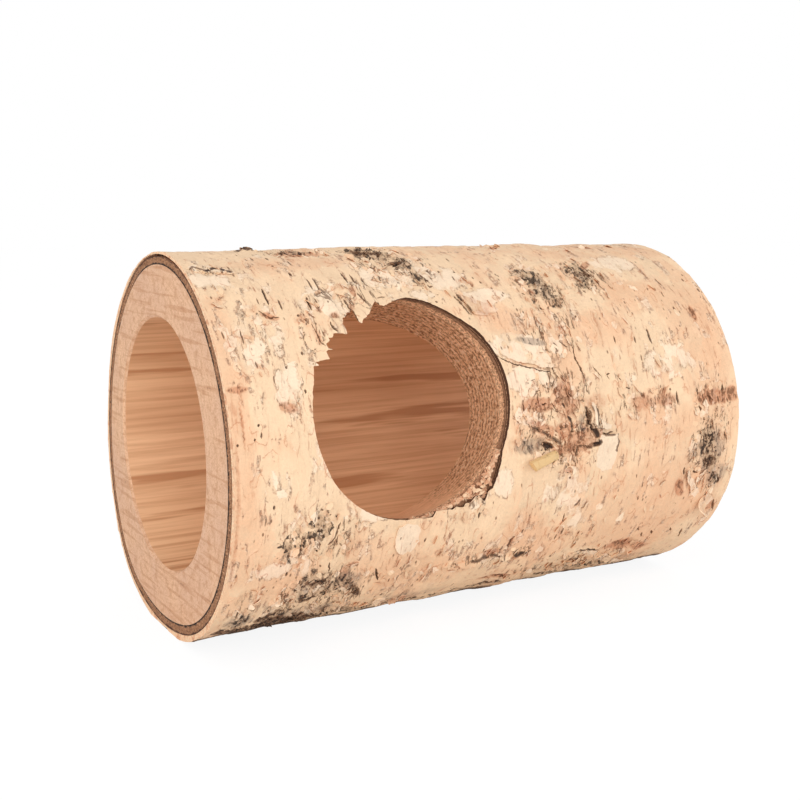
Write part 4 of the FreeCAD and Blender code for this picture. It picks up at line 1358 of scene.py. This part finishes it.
def build_knot_collar():
    """Wrinkled bark that the log grew round the branch."""
    turn = np.linspace(0, 2 * math.pi, 240, endpoint=False)
    wide = 5.0 + 1.6 * np.cos(2 * turn + 0.4) + 1.2 * np.cos(3 * turn)
    skin = Skin()
    rings = []
    for share in np.linspace(0, 1, 19):
        crown = 0.7 * math.sin(math.pi * min(1.0, 0.15 + 0.85 * share)) - 0.9 * share ** 3 - 0.35
        rings.append(lay_ring(
            skin, turn, 1.02 * KNOT_RADIUS + share * wide, 1.2, lambda x, lift, base: (
                bark_relief(x, lift) + crown
                + 0.7 * (1 - share ** 2) * clouds(base, 1.5, 3, 1.0, 80.0))))
    for share in (1.0, 0.0):
        rings.append(lay_ring(skin, turn, 1.02 * KNOT_RADIUS + share * wide, 1.2,
                              lambda x, lift, base: bark_relief(x, lift) - 1.8))
    join_all(skin, rings + rings[:1])
    dress(skin.object("knot_collar_wrinkled", [paper_bark_finish()]), "corky_bark", "knot_collar")


# The notch at the doorway's lower right: its number of chips, and by angle round the doorway's
# axis where it starts, is deepest and ends.
NOTCH_CHIPS = 260
NOTCH_START, NOTCH_DEEPEST, NOTCH_END = 270, 311, 330


def build_torn_fibres():
    """Chips of torn bast in the notch at the doorway's lower right."""
    random = np.random.default_rng(sizes().seed + 1)
    skin = Skin()
    for _ in range(NOTCH_CHIPS):
        angle = random.uniform(NOTCH_START, NOTCH_END)
        deep = 0.6 + 5.6 * math.exp(-((angle - NOTCH_DEEPEST) / 7) ** 2)
        reach = DOOR_RADIUS + random.uniform(0, 1) * deep + 0.4
        x, lift = doorway_places(BAST_TOP, angle, reach)
        root = spots(x, lift, BAST_TOP.at(lift) + random.uniform(0.1, 0.9))
        size = random.uniform(0.5, 1.3), random.uniform(0.25, 0.6)
        flake(skin, random, root, random.uniform(0, 2 * math.pi), lift, size, 0.35,
              random.uniform(0.0, 0.6), {"rust": random.uniform(0, 1)})
    dress(skin.object("torn_bast_notch", [bast_chip_finish()], sharp=30.0), "inner_bark")


# --- Finishes ---


class Field:
    """A value, colour or direction that changes over a surface: one output of a node."""

    def __init__(self, finish, socket):
        self.finish, self.socket = finish, socket

    def maths(self, operation, *values):
        """A Math node on this and other values."""
        return self.finish.node(
            "ShaderNodeMath", {"operation": operation}, dict(enumerate(values)))

    def __add__(self, other):
        return self.maths("ADD", self, other)

    def __radd__(self, other):
        return self.maths("ADD", other, self)

    def __sub__(self, other):
        return self.maths("SUBTRACT", self, other)

    def __rsub__(self, other):
        return self.maths("SUBTRACT", other, self)

    def __mul__(self, other):
        return self.maths("MULTIPLY", self, other)

    def __rmul__(self, other):
        return self.maths("MULTIPLY", other, self)

    def __mod__(self, other):
        return self.maths("FLOORED_MODULO", self, other)

    def __rmod__(self, other):
        return self.maths("FLOORED_MODULO", other, self)

    def __abs__(self):
        return self.maths("ABSOLUTE", self)

    def above(self, low, high):
        """0 below low, 1 above high and smooth between, also where low is above high."""
        return self.finish.node(
            "ShaderNodeMapRange", {"interpolation_type": "SMOOTHSTEP"},
            {0: self, 1: low, 2: high, 3: 0.0, 4: 1.0})

    def most(self, other):
        """The greater of two values."""
        return self.maths("MAXIMUM", self, other)


class Finish:
    """Material in the making, whose nodes are made by node() and used as Fields.

    Its colour starts as the one given, and paint() and shade() change it step by step.
    """

    specular = 0.3

    def __init__(self, name, colour):
        self.material = bpy.data.materials.new(name)
        self.material.use_nodes = True
        self.nodes, self.links = self.material.node_tree.nodes, self.material.node_tree.links
        self.shader = self.nodes["Principled BSDF"]
        self.place = self.node("ShaderNodeTexCoord", output="Object")
        self.colour = colour

    def node(self, kind, settings=None, inputs=None, output=0):
        """Add one node with its settings and the values or links of its sockets."""
        node = self.nodes.new(kind)
        for name, value in (settings or {}).items():
            setattr(node, name, value)
        for name, value in (inputs or {}).items():
            if isinstance(value, Field):
                self.links.new(value.socket, node.inputs[name])
            else:
                node.inputs[name].default_value = value
        return Field(self, node.outputs[output])

    def stretched(self, along, across):
        """Places scaled by along over the log's length and by across in the other ways."""
        return self.node("ShaderNodeMapping", {}, {"Vector": self.place, "Scale": (along, across, across)})

    def noise(self, scale, detail=3.0, places=None, rough=0.5, warp=0.0):
        """Noise from 0 to 1, scale blotches to the metre."""
        return self.node("ShaderNodeTexNoise", {}, {
            "Vector": places or self.place, "Scale": scale, "Detail": detail, "Roughness": rough,
            "Distortion": warp})

    def cells(self, scale, places=None, output="Distance", metric="EUCLIDEAN"):
        """Voronoi cells, scale to the metre."""
        return self.node("ShaderNodeTexVoronoi", {"distance": metric}, {
            "Vector": places or self.place, "Scale": scale}, output)

    def field(self, name):
        """Surface field that the mesh carries."""
        return self.node("ShaderNodeAttribute", {"attribute_name": name}, output="Fac")

    def paint(self, share, name):
        """Lay a named colour over the colour so far, by a share from 0 to 1."""
        self.colour = self.node(
            "ShaderNodeMix", {"data_type": "RGBA"}, {0: share, 6: self.colour, 7: tone(name)},
            output=2)

    def shade(self, value):
        """Multiply the colour so far by a value."""
        grey = self.node("ShaderNodeCombineColor", {}, {0: value, 1: value, 2: value})
        self.colour = self.node(
            "ShaderNodeMix", {"data_type": "RGBA", "blend_type": "MULTIPLY"},
            {0: 1.0, 6: self.colour, 7: grey}, output=2)

    def warped(self, scale, reach):
        """Places moved about by up to reach metres."""
        moved = self.node("ShaderNodeTexNoise", {}, {
            "Vector": self.place, "Scale": scale, "Detail": 3.0}, output="Color")
        return self.node("ShaderNodeVectorMath", {"operation": "MULTIPLY_ADD"}, {
            0: moved, 1: (2 * reach,) * 3, 2: self.place})

    def tiles(self, scale, places):
        """One random value for each squarish tile, longer round the log."""
        wide = self.node("ShaderNodeMapping", {}, {"Vector": places, "Scale": (1.5, 0.7, 0.7)})
        tile = self.cells(scale, places=wide, output="Color", metric="CHEBYCHEV")
        return self.node("ShaderNodeSeparateColor", {}, {0: tile})

    def bump(self, height, strength, distance, normal=None):
        """Normal bent by a height, with distance in metres."""
        inputs = {"Height": height, "Strength": strength, "Distance": distance}
        if normal is not None:
            inputs["Normal"] = normal
        return self.node("ShaderNodeBump", {}, inputs)

    def done(self, roughness, normal):
        """Link the fields to the shader and give the material."""
        self.links.new(self.colour.socket, self.shader.inputs["Base Color"])
        if isinstance(roughness, Field):
            self.links.new(roughness.socket, self.shader.inputs["Roughness"])
        else:
            self.shader.inputs["Roughness"].default_value = roughness
        self.links.new(normal.socket, self.shader.inputs["Normal"])
        self.shader.inputs["Specular IOR Level"].default_value = self.specular
        return self.material


FINISHES = {}


def kept(make):
    """Make a finish once and give the same one after that."""
    def finish():
        if make.__name__ not in FINISHES:
            FINISHES[make.__name__] = make()
        return FINISHES[make.__name__]
    return finish


@kept
def paper_bark_finish():
    """Cream paper bark in torn layers, with rust, cork, weathering and dark cracks, and with painted
    shade in the cracks, in the hollows and gaps by the branch scar and along the underside.
    """
    f = Finish("paper_bark", tone("cream"))
    round_log = f.stretched(1.0, 0.15)
    fine = f.noise(1400.0, 5.0, rough=0.65)
    middle = f.noise(170.0, 5.0, rough=0.62, warp=0.3)
    broad = f.noise(42.0, 4.0)
    streak = f.noise(850.0, 4.0, round_log, 0.62)
    strokes = f.noise(430.0, 4.0, round_log, 0.6)
    ragged = (middle - 0.5) * 1.0 + (fine - 0.5) * 0.5 + (streak - 0.5) * 0.5
    moved = f.warped(260.0, 0.0022)
    sheet = f.tiles(75.0, moved)
    flake = f.tiles(230.0, moved)

    peach = f.field("peach") * 0.55 + broad * 1.0 + ragged * 0.55 + (sheet - 0.5) * 0.3 - 0.32
    f.paint(peach.above(0.20, 0.36) * 0.28 + peach.above(0.1, 0.9) * 0.5, "peach")
    pale = f.field("pale") * 0.7 + ragged * 0.8 + (flake - 0.5) * 0.45
    patch = pale.above(0.2, 0.32)
    f.paint(patch * 0.3 + pale.above(0.0, 0.5) * 0.3, "pale")
    torn = pale.above(0.14, 0.19) * pale.above(0.25, 0.19) * streak.above(0.48, 0.58)
    f.paint(torn * 0.4, "rust")
    f.shade(0.94 + flake * 0.06 + sheet * 0.05 + (fine - 0.5) * 0.34)

    layers = f.field("layers") + ragged * 0.5
    edge = layers % 1.0
    lip = edge.above(0.86, 0.97) * edge.above(1.0, 0.97) * middle.above(0.47, 0.56)
    f.paint(lip * 0.6, "rust")
    thin = streak.above(0.60, 0.68) * broad.above(0.42, 0.56)
    f.paint(thin * 0.42, "rust")
    long = strokes.above(0.64, 0.70) * middle.above(0.40, 0.55)
    f.paint(long * 0.45, "rust")

    wrinkles = f.noise(170.0, 4.0, f.stretched(1.0, 0.45), 0.6, 0.8)
    contour = abs(wrinkles - 0.5).above(0.024, 0.008) * streak.above(0.46, 0.54)
    scaly = (f.field("scaly") + ragged * 0.8).above(0.35, 0.65)
    f.paint(contour * scaly * 0.75, "brown")

    specks = f.cells(480.0, places=f.stretched(1.0, 0.5)).above(0.20, 0.10)
    sparse = f.noise(120.0, 2.0).above(0.53, 0.62)
    f.paint(specks * sparse * 0.8, "brown")

    rust = f.field("rust") + ragged * 0.9
    f.paint(rust.above(0.20, 0.80) * (0.2 + fine * 0.8), "rust")
    blotch = f.noise(700.0, 4.0, f.stretched(1.0, 0.55), 0.62)
    f.paint(rust.above(0.45, 0.85) * blotch.above(0.50, 0.60) * 0.8, "brown")

    # Grey weathering; in the hollows beside the branch scar it is painted shade.
    worn_and_hollow_shade = f.field("weathered") + ragged * 0.8
    f.paint(worn_and_hollow_shade.above(0.3, 0.9) * (streak + fine * 0.5 - 0.15), "grey")
    f.paint(worn_and_hollow_shade.above(0.60, 0.95) * blotch.above(0.52, 0.60) * 0.7, "black")

    cork = f.field("cork") + ragged * 0.9
    f.paint(cork.above(0.35, 0.75) * 0.55, "brown")
    f.paint(cork.above(0.3, 0.6) * blotch.above(0.50, 0.44) * 0.5, "cream")
    pits = cork.above(0.35, 0.55) * blotch.above(0.52, 0.58)
    f.paint(pits * 0.85, "black")

    f.paint(f.field("wood") * (0.6 + fine * 0.3), "stick")

    # Dark bark, and painted shadow along the underside and beside the loose pieces at the branch scar.
    soot = f.field("soot") + ragged * 0.8
    f.paint(soot.above(0.35, 0.6) * 0.75, "brown")
    f.paint(soot.above(0.55, 0.8) * fine.above(0.42, 0.54) * 0.85, "black")

    # Cracks and dashes; the cracks' darkness is partly painted shade.
    dark = f.field("dark") + (fine - 0.5) * 0.3
    f.paint(dark.above(0.07, 0.2) * 0.75, "brown")
    f.paint(dark.above(0.4, 0.75) * 0.85, "black")

    grain = f.bump(streak * 0.6 + fine * 0.6 + strokes * 0.4, 0.7, 0.0004)
    steps = f.bump(layers - edge + edge.above(0.7, 1.0), 0.35, 0.00015, grain)
    patches = f.bump(patch + peach.above(0.36, 0.24) * 0.7, 0.4, 0.0002, steps)
    normal = f.bump(0 - pits - thin * 0.4 - torn * 0.6 - contour * scaly, 0.7, 0.0006, patches)
    return f.done(0.6 + fine * 0.25, normal)


@kept
def bark_edge_finish():
    """Sawn edge and underside of the paper bark: thin cream and brown layers."""
    f = Finish("bark_edge", tone("cream"))
    fine = f.noise(1600.0, 4.0)
    broad = f.noise(320.0, 3.0)
    f.paint(fine.above(0.40, 0.60), "peach")
    f.paint(broad.above(0.52, 0.66) * 0.6, "rust")
    return f.done(0.8, f.bump(fine, 0.7, 0.0003))


@kept
def bast_finish():
    """Brown bast with flecks, nearly black beside the wood."""
    f = Finish("bast", tone("bast_dark"))
    fine = f.noise(1500.0, 4.0, rough=0.65)
    flecks = f.cells(900.0)
    deep = f.field("depth") + (fine - 0.5) * 0.5
    blotch = f.noise(330.0, 3.0)
    f.paint(fine.above(0.30, 0.55), "bast")
    f.paint(flecks.above(0.45, 0.2) * fine.above(0.5, 0.6) * 0.6, "peach")
    f.paint((deep + blotch * 0.5 - 0.2).above(0.30, 0.12), "black")
    f.paint((deep - blotch * 0.6).above(0.52, 0.66), "bast_dark")
    return f.done(0.85, f.bump(fine + flecks * 0.6, 0.8, 0.0004))


@kept
def bast_doorway_finish():
    """Bast at the doorway: like the wood beside it, and nearly black under the paper bark. The paper
    bark's torn edge round the doorway takes the nearly black too, as painted shade under its
    torn tongues.
    """
    f = Finish("bast_doorway", tone("doorway_wood"))
    fine = f.noise(1500.0, 4.0, rough=0.65)
    deep = f.field("depth") + (fine - 0.5) * 0.6
    f.paint(fine.above(0.42, 0.58) * 0.7, "brown")
    f.paint(deep.above(0.55, 0.80) * 0.7, "brown")
    f.paint(deep.above(0.75, 0.95) * 0.9, "bast_dark")
    return f.done(0.85, f.bump(fine, 0.8, 0.0004))


@kept
def bast_chip_finish():
    """Freshly torn bast: pink and tan chips."""
    f = Finish("torn_bast", tone("cream"))
    fine = f.noise(1200.0, 3.0)
    share = f.field("rust") * 0.8 + fine * 0.5 - 0.15
    f.paint(share.above(0.0, 0.9) * 0.7, "rust")
    f.paint(f.field("depth") * (0.3 + fine * 0.7), "brown")
    return f.done(0.75, f.bump(fine, 0.5, 0.0002))


def ring_lines(f, spacing):
    """Growth rings round the pith, from 0 to 1, spacing metres apart."""
    wobble = f.noise(38.0, 2.0)
    flat = f.node("ShaderNodeMapping", {}, {
        "Vector": f.place, "Location": (0.0, -PITH_Y, -PITH_Z), "Scale": (0.0, 1.0, 1.0)})
    reach = f.node("ShaderNodeVectorMath", {"operation": "LENGTH"}, {0: flat}, output="Value")
    return ((reach + wobble * 0.006) * (1 / spacing)) % 1.0


@kept
def sawn_wood_finish():
    """Pale wood of the sawn ends, with faint rings, pores and saw scuffs."""
    f = Finish("sawn_wood", tone("sawn_wood"))
    fine = f.noise(2200.0, 3.0)
    broad = f.noise(60.0, 3.0)
    rings = ring_lines(f, 0.0021)
    saw = f.noise(420.0, 3.0, f.node("ShaderNodeMapping", {}, {
        "Vector": f.place, "Rotation": (0.5, 0.0, 0.0), "Scale": (1.0, 0.08, 1.6)}))
    middle = f.noise(300.0, 4.0, rough=0.6)
    f.paint(broad.above(0.25, 0.75) * 0.5, "bored_wood")
    f.paint(rings.above(0.5, 1.0) * broad.above(0.35, 0.6) * 0.22, "wood_grain")
    f.paint(middle.above(0.45, 0.70) * 0.5, "wood_grain")
    f.paint(fine.above(0.50, 0.66) * 0.55, "wood_grain")
    f.paint(saw.above(0.55, 0.64) * 0.45, "wood_grain")
    f.paint(saw.above(0.68, 0.74) * middle.above(0.5, 0.55) * 0.5, "brown")
    normal = f.bump(fine + saw + middle, 0.5, 0.0003)
    return f.done(0.62, normal)


@kept
def bored_wood_finish():
    """Bored wood with long grain lines along the tunnel."""
    f = Finish("bored_wood", tone("bored_wood"))
    fibre = f.noise(1.0, 4.0, f.stretched(14.0, 620.0), 0.6)
    lines = f.noise(1.0, 3.0, f.stretched(9.0, 150.0), 0.55)
    broad = f.noise(1.0, 2.0, f.stretched(6.0, 42.0))
    f.paint(fibre.above(0.35, 0.70) * 0.5, "wood_grain")
    f.paint(broad.above(0.45, 0.7) * 0.35, "wood_grain")
    f.paint(lines.above(0.56, 0.64) * 0.75, "wood_grain")
    f.paint(lines.above(0.68, 0.76) * 0.4, "brown")
    normal = f.bump(fibre + lines, 0.3, 0.0003)
    return f.done(0.58, normal)


@kept
def doorway_wood_finish():
    """Wood at the doorway's cut: coarse torn end grain at its sides, smooth long grain below."""
    f = Finish("doorway_wood", tone("doorway_wood"))
    facing = f.node("ShaderNodeNewGeometry", output="Normal")
    sideways, down = [f.node("ShaderNodeSeparateXYZ", {}, {0: facing}, way) for way in ("X", "Z")]
    coarse = abs(sideways).above(0.35, 0.85).most(down.above(-0.25, -0.75))
    rings = ring_lines(f, 0.0017)
    fine = f.noise(950.0, 4.0, rough=0.62)
    torn = f.noise(620.0, 3.0)
    fibre = f.noise(1.0, 4.0, f.stretched(30.0, 700.0), 0.6)
    f.paint(fibre.above(0.3, 0.75) * 0.4, "wood_grain")
    rough = rings.above(0.3, 1.0) * 0.3 + fine.above(0.44, 0.60) * 0.7 + torn.above(0.52, 0.62) * 0.5
    f.paint(rough * coarse * 0.6, "wood_grain")
    f.paint(fine.above(0.54, 0.60) * coarse * 0.7, "brown")
    f.paint(rings.above(0.6, 0.9) * torn.above(0.38, 0.5) * coarse * 0.6, "brown")
    f.paint(fine.above(0.44, 0.38) * coarse * 0.6, "cream")
    height = (fine * 1.2 + torn + rings * 0.5) * coarse + fibre * 0.3
    return f.done(0.7, f.bump(height, 0.8, 0.0008))


# --- Stage ---


def floor_finish(colour):
    """Plain matt floor that looks white to the camera and keeps the log's shadow."""
    f = Finish("floor_white", (*colour, 1.0))
    tree = f.material.node_tree
    matt = f.node("ShaderNodeBsdfDiffuse", {}, {"Color": f.colour})
    glow = f.node("ShaderNodeEmission", {}, {"Color": (1, 1, 1, 1), "Strength": 1.05})
    path = f.node("ShaderNodeLightPath", output="Is Camera Ray")
    seen = f.node("ShaderNodeMixShader", {}, {0: path * 0.86, 1: matt, 2: glow})
    tree.links.new(seen.socket, tree.nodes["Material Output"].inputs["Surface"])
    tree.nodes.remove(f.shader)
    return f.material


def build_floor(stage):
    """Large flat floor under the log."""
    mesh = bpy.data.meshes.new("floor")
    side = 6.0
    mesh.from_pydata([(-side, -side, 0), (side, -side, 0), (side, side, 0), (-side, side, 0)], [],
                     [(0, 1, 2, 3)])
    mesh.materials.append(floor_finish(stage.floor))
    floor = bpy.data.objects.new("floor", mesh)
    bpy.context.collection.objects.link(floor)


def build_sky(strength):
    """Even light from all around, which the camera and glossy surfaces see as white."""
    world = bpy.data.worlds.new("sky")
    bpy.context.scene.world = world
    world.use_nodes = True
    tree = world.node_tree
    light, seen = tree.nodes["Background"], tree.nodes.new("ShaderNodeBackground")
    for background, power in ((light, strength), (seen, 1.0)):
        background.inputs["Strength"].default_value = power
        background.inputs["Color"].default_value = (1.0, 1.0, 1.0, 1.0)
    path, share, mix = [
        tree.nodes.new(kind) for kind in ("ShaderNodeLightPath", "ShaderNodeMath", "ShaderNodeMixShader")]
    share.operation = "MAXIMUM"
    tree.links.new(path.outputs["Is Camera Ray"], share.inputs[0])
    tree.links.new(path.outputs["Is Glossy Ray"], share.inputs[1])
    for number, output in enumerate((share.outputs[0], light.outputs[0], seen.outputs[0])):
        tree.links.new(output, mix.inputs[number])
    tree.links.new(mix.outputs[0], tree.nodes["World Output"].inputs["Surface"])


def add_lamp(name, place, aim, size, power):
    """Soft square lamp at a place, aimed at a point."""
    data = bpy.data.lights.new(name, "AREA")
    data.energy = power
    data.size = size
    lamp = bpy.data.objects.new(name, data)
    lamp.location = place
    way = Vector(aim) - Vector(place)
    lamp.rotation_euler = way.to_track_quat("-Z", "Y").to_euler()
    bpy.context.collection.objects.link(lamp)


def add_camera(stage):
    """Camera that looks at the doorway side from the near end."""
    data = bpy.data.cameras.new("camera")
    data.sensor_width = 36.0
    data.lens = stage.lens
    camera = bpy.data.objects.new("camera", data)
    camera.location = stage.camera_place
    camera.rotation_euler = Vector(stage.camera_aim).to_track_quat("-Z", "Y").to_euler()
    bpy.context.collection.objects.link(camera)
    bpy.context.scene.camera = camera


# Lamps: name, place, the point that it lights, size and the setting that holds its power.
LAMPS = (
    ("key_lamp", (-0.4, -0.95, 0.66), (0.0, 0.0, 0.06), 0.7, "key_power"),
    ("fill_lamp", (0.75, -1.0, 0.14), (0.0, 0.0, 0.06), 0.8, "fill_power"),
    ("mouth_lamp", (-0.95, -0.35, 0.22), (-0.06, 0.0, 0.06), 0.5, "mouth_power"))


def build_stage():
    """Floor, light and camera."""
    stage = bpy.context.scene.log_house_stage
    build_floor(stage)
    build_sky(stage.sky)
    for name, place, aim, size, power in LAMPS:
        add_lamp(name, place, aim, size, getattr(stage, power))
    add_camera(stage)
    bpy.context.scene.view_settings.view_transform = "Standard"


# --- Add-on ---


class OBJECT_OT_log_outer_bark(bpy.types.Operator):
    """Build the paper bark with its cracks, dashes and torn doorway edge"""

    bl_idname = "log_house.outer_bark"
    bl_label = "Paper Bark"

    def execute(self, context):
        build_outer_bark()
        return {"FINISHED"}


class OBJECT_OT_log_inner_bark(bpy.types.Operator):
    """Build the brown inner bark and the chips torn out of it"""

    bl_idname = "log_house.inner_bark"
    bl_label = "Inner Bark"

    def execute(self, context):
        build_inner_bark()
        build_torn_fibres()
        return {"FINISHED"}


class OBJECT_OT_log_wood(bpy.types.Operator):
    """Build the bored wood with its sawn ends and doorway"""

    bl_idname = "log_house.wood"
    bl_label = "Bored Wood"

    def execute(self, context):
        build_wood()
        return {"FINISHED"}


class OBJECT_OT_log_branch_scar(bpy.types.Operator):
    """Build the broken branch and the bark round it"""

    bl_idname = "log_house.branch_scar"
    bl_label = "Branch Scar"

    def execute(self, context):
        build_branch_scar()
        build_knot_collar()
        return {"FINISHED"}


class OBJECT_OT_log_corky_plates(bpy.types.Operator):
    """Build the rough corky plates"""

    bl_idname = "log_house.corky_plates"
    bl_label = "Corky Plates"

    def execute(self, context):
        build_corky_plates()
        return {"FINISHED"}


class OBJECT_OT_log_bark_sheets(bpy.types.Operator):
    """Build the loose sheets and flakes of paper bark"""

    bl_idname = "log_house.bark_sheets"
    bl_label = "Loose Sheets"

    def execute(self, context):
        build_loose_bark(BARK_SHEETS, "_torn")
        build_bark_scales()
        return {"FINISHED"}


class OBJECT_OT_log_bark_curls(bpy.types.Operator):
    """Build the curling strips of paper bark"""

    bl_idname = "log_house.bark_curls"
    bl_label = "Curls"

    def execute(self, context):
        build_loose_bark([node for node in BARK_CURLS if node not in BARK_SHEETS], "_rolled")
        return {"FINISHED"}


class OBJECT_OT_log_stage(bpy.types.Operator):
    """Build the floor, the lamps and the camera"""

    bl_idname = "log_house.stage"
    bl_label = "Stage"

    def execute(self, context):
        build_stage()
        return {"FINISHED"}


OPERATORS = (
    OBJECT_OT_log_wood, OBJECT_OT_log_inner_bark, OBJECT_OT_log_outer_bark,
    OBJECT_OT_log_branch_scar, OBJECT_OT_log_corky_plates, OBJECT_OT_log_bark_sheets,
    OBJECT_OT_log_bark_curls, OBJECT_OT_log_stage)
GROUPS = {
    "log_house_sizes": LogSizes, "log_house_colours": LogColours, "log_house_stage": StageSettings}


class VIEW3D_PT_log_house(bpy.types.Panel):
    """Lists the parts of the log house and their settings"""

    bl_label = "Log House"
    bl_space_type = "VIEW_3D"
    bl_region_type = "UI"
    bl_category = "Log House"

    def draw(self, context):
        for operator in OPERATORS:
            self.layout.operator(operator.bl_idname)
        for name, group in GROUPS.items():
            box = self.layout.box()
            for setting in group.__annotations__:
                box.prop(getattr(context.scene, name), setting)


def register():
    """Make the settings, operators and panel known."""
    for name, group in GROUPS.items():
        bpy.utils.register_class(group)
        setattr(bpy.types.Scene, name, bpy.props.PointerProperty(type=group))
    for operator in OPERATORS:
        bpy.utils.register_class(operator)
    bpy.utils.register_class(VIEW3D_PT_log_house)


def unregister():
    """Take the settings, operators and panel away again."""
    bpy.utils.unregister_class(VIEW3D_PT_log_house)
    for operator in OPERATORS:
        bpy.utils.unregister_class(operator)
    for name, group in GROUPS.items():
        delattr(bpy.types.Scene, name)
        bpy.utils.unregister_class(group)


def main():
    """Build every piece and the stage."""
    register()
    for operator in OPERATORS:
        group, name = operator.bl_idname.split(".")
        getattr(getattr(bpy.ops, group), name)()


if __name__ == "__main__":
    main()
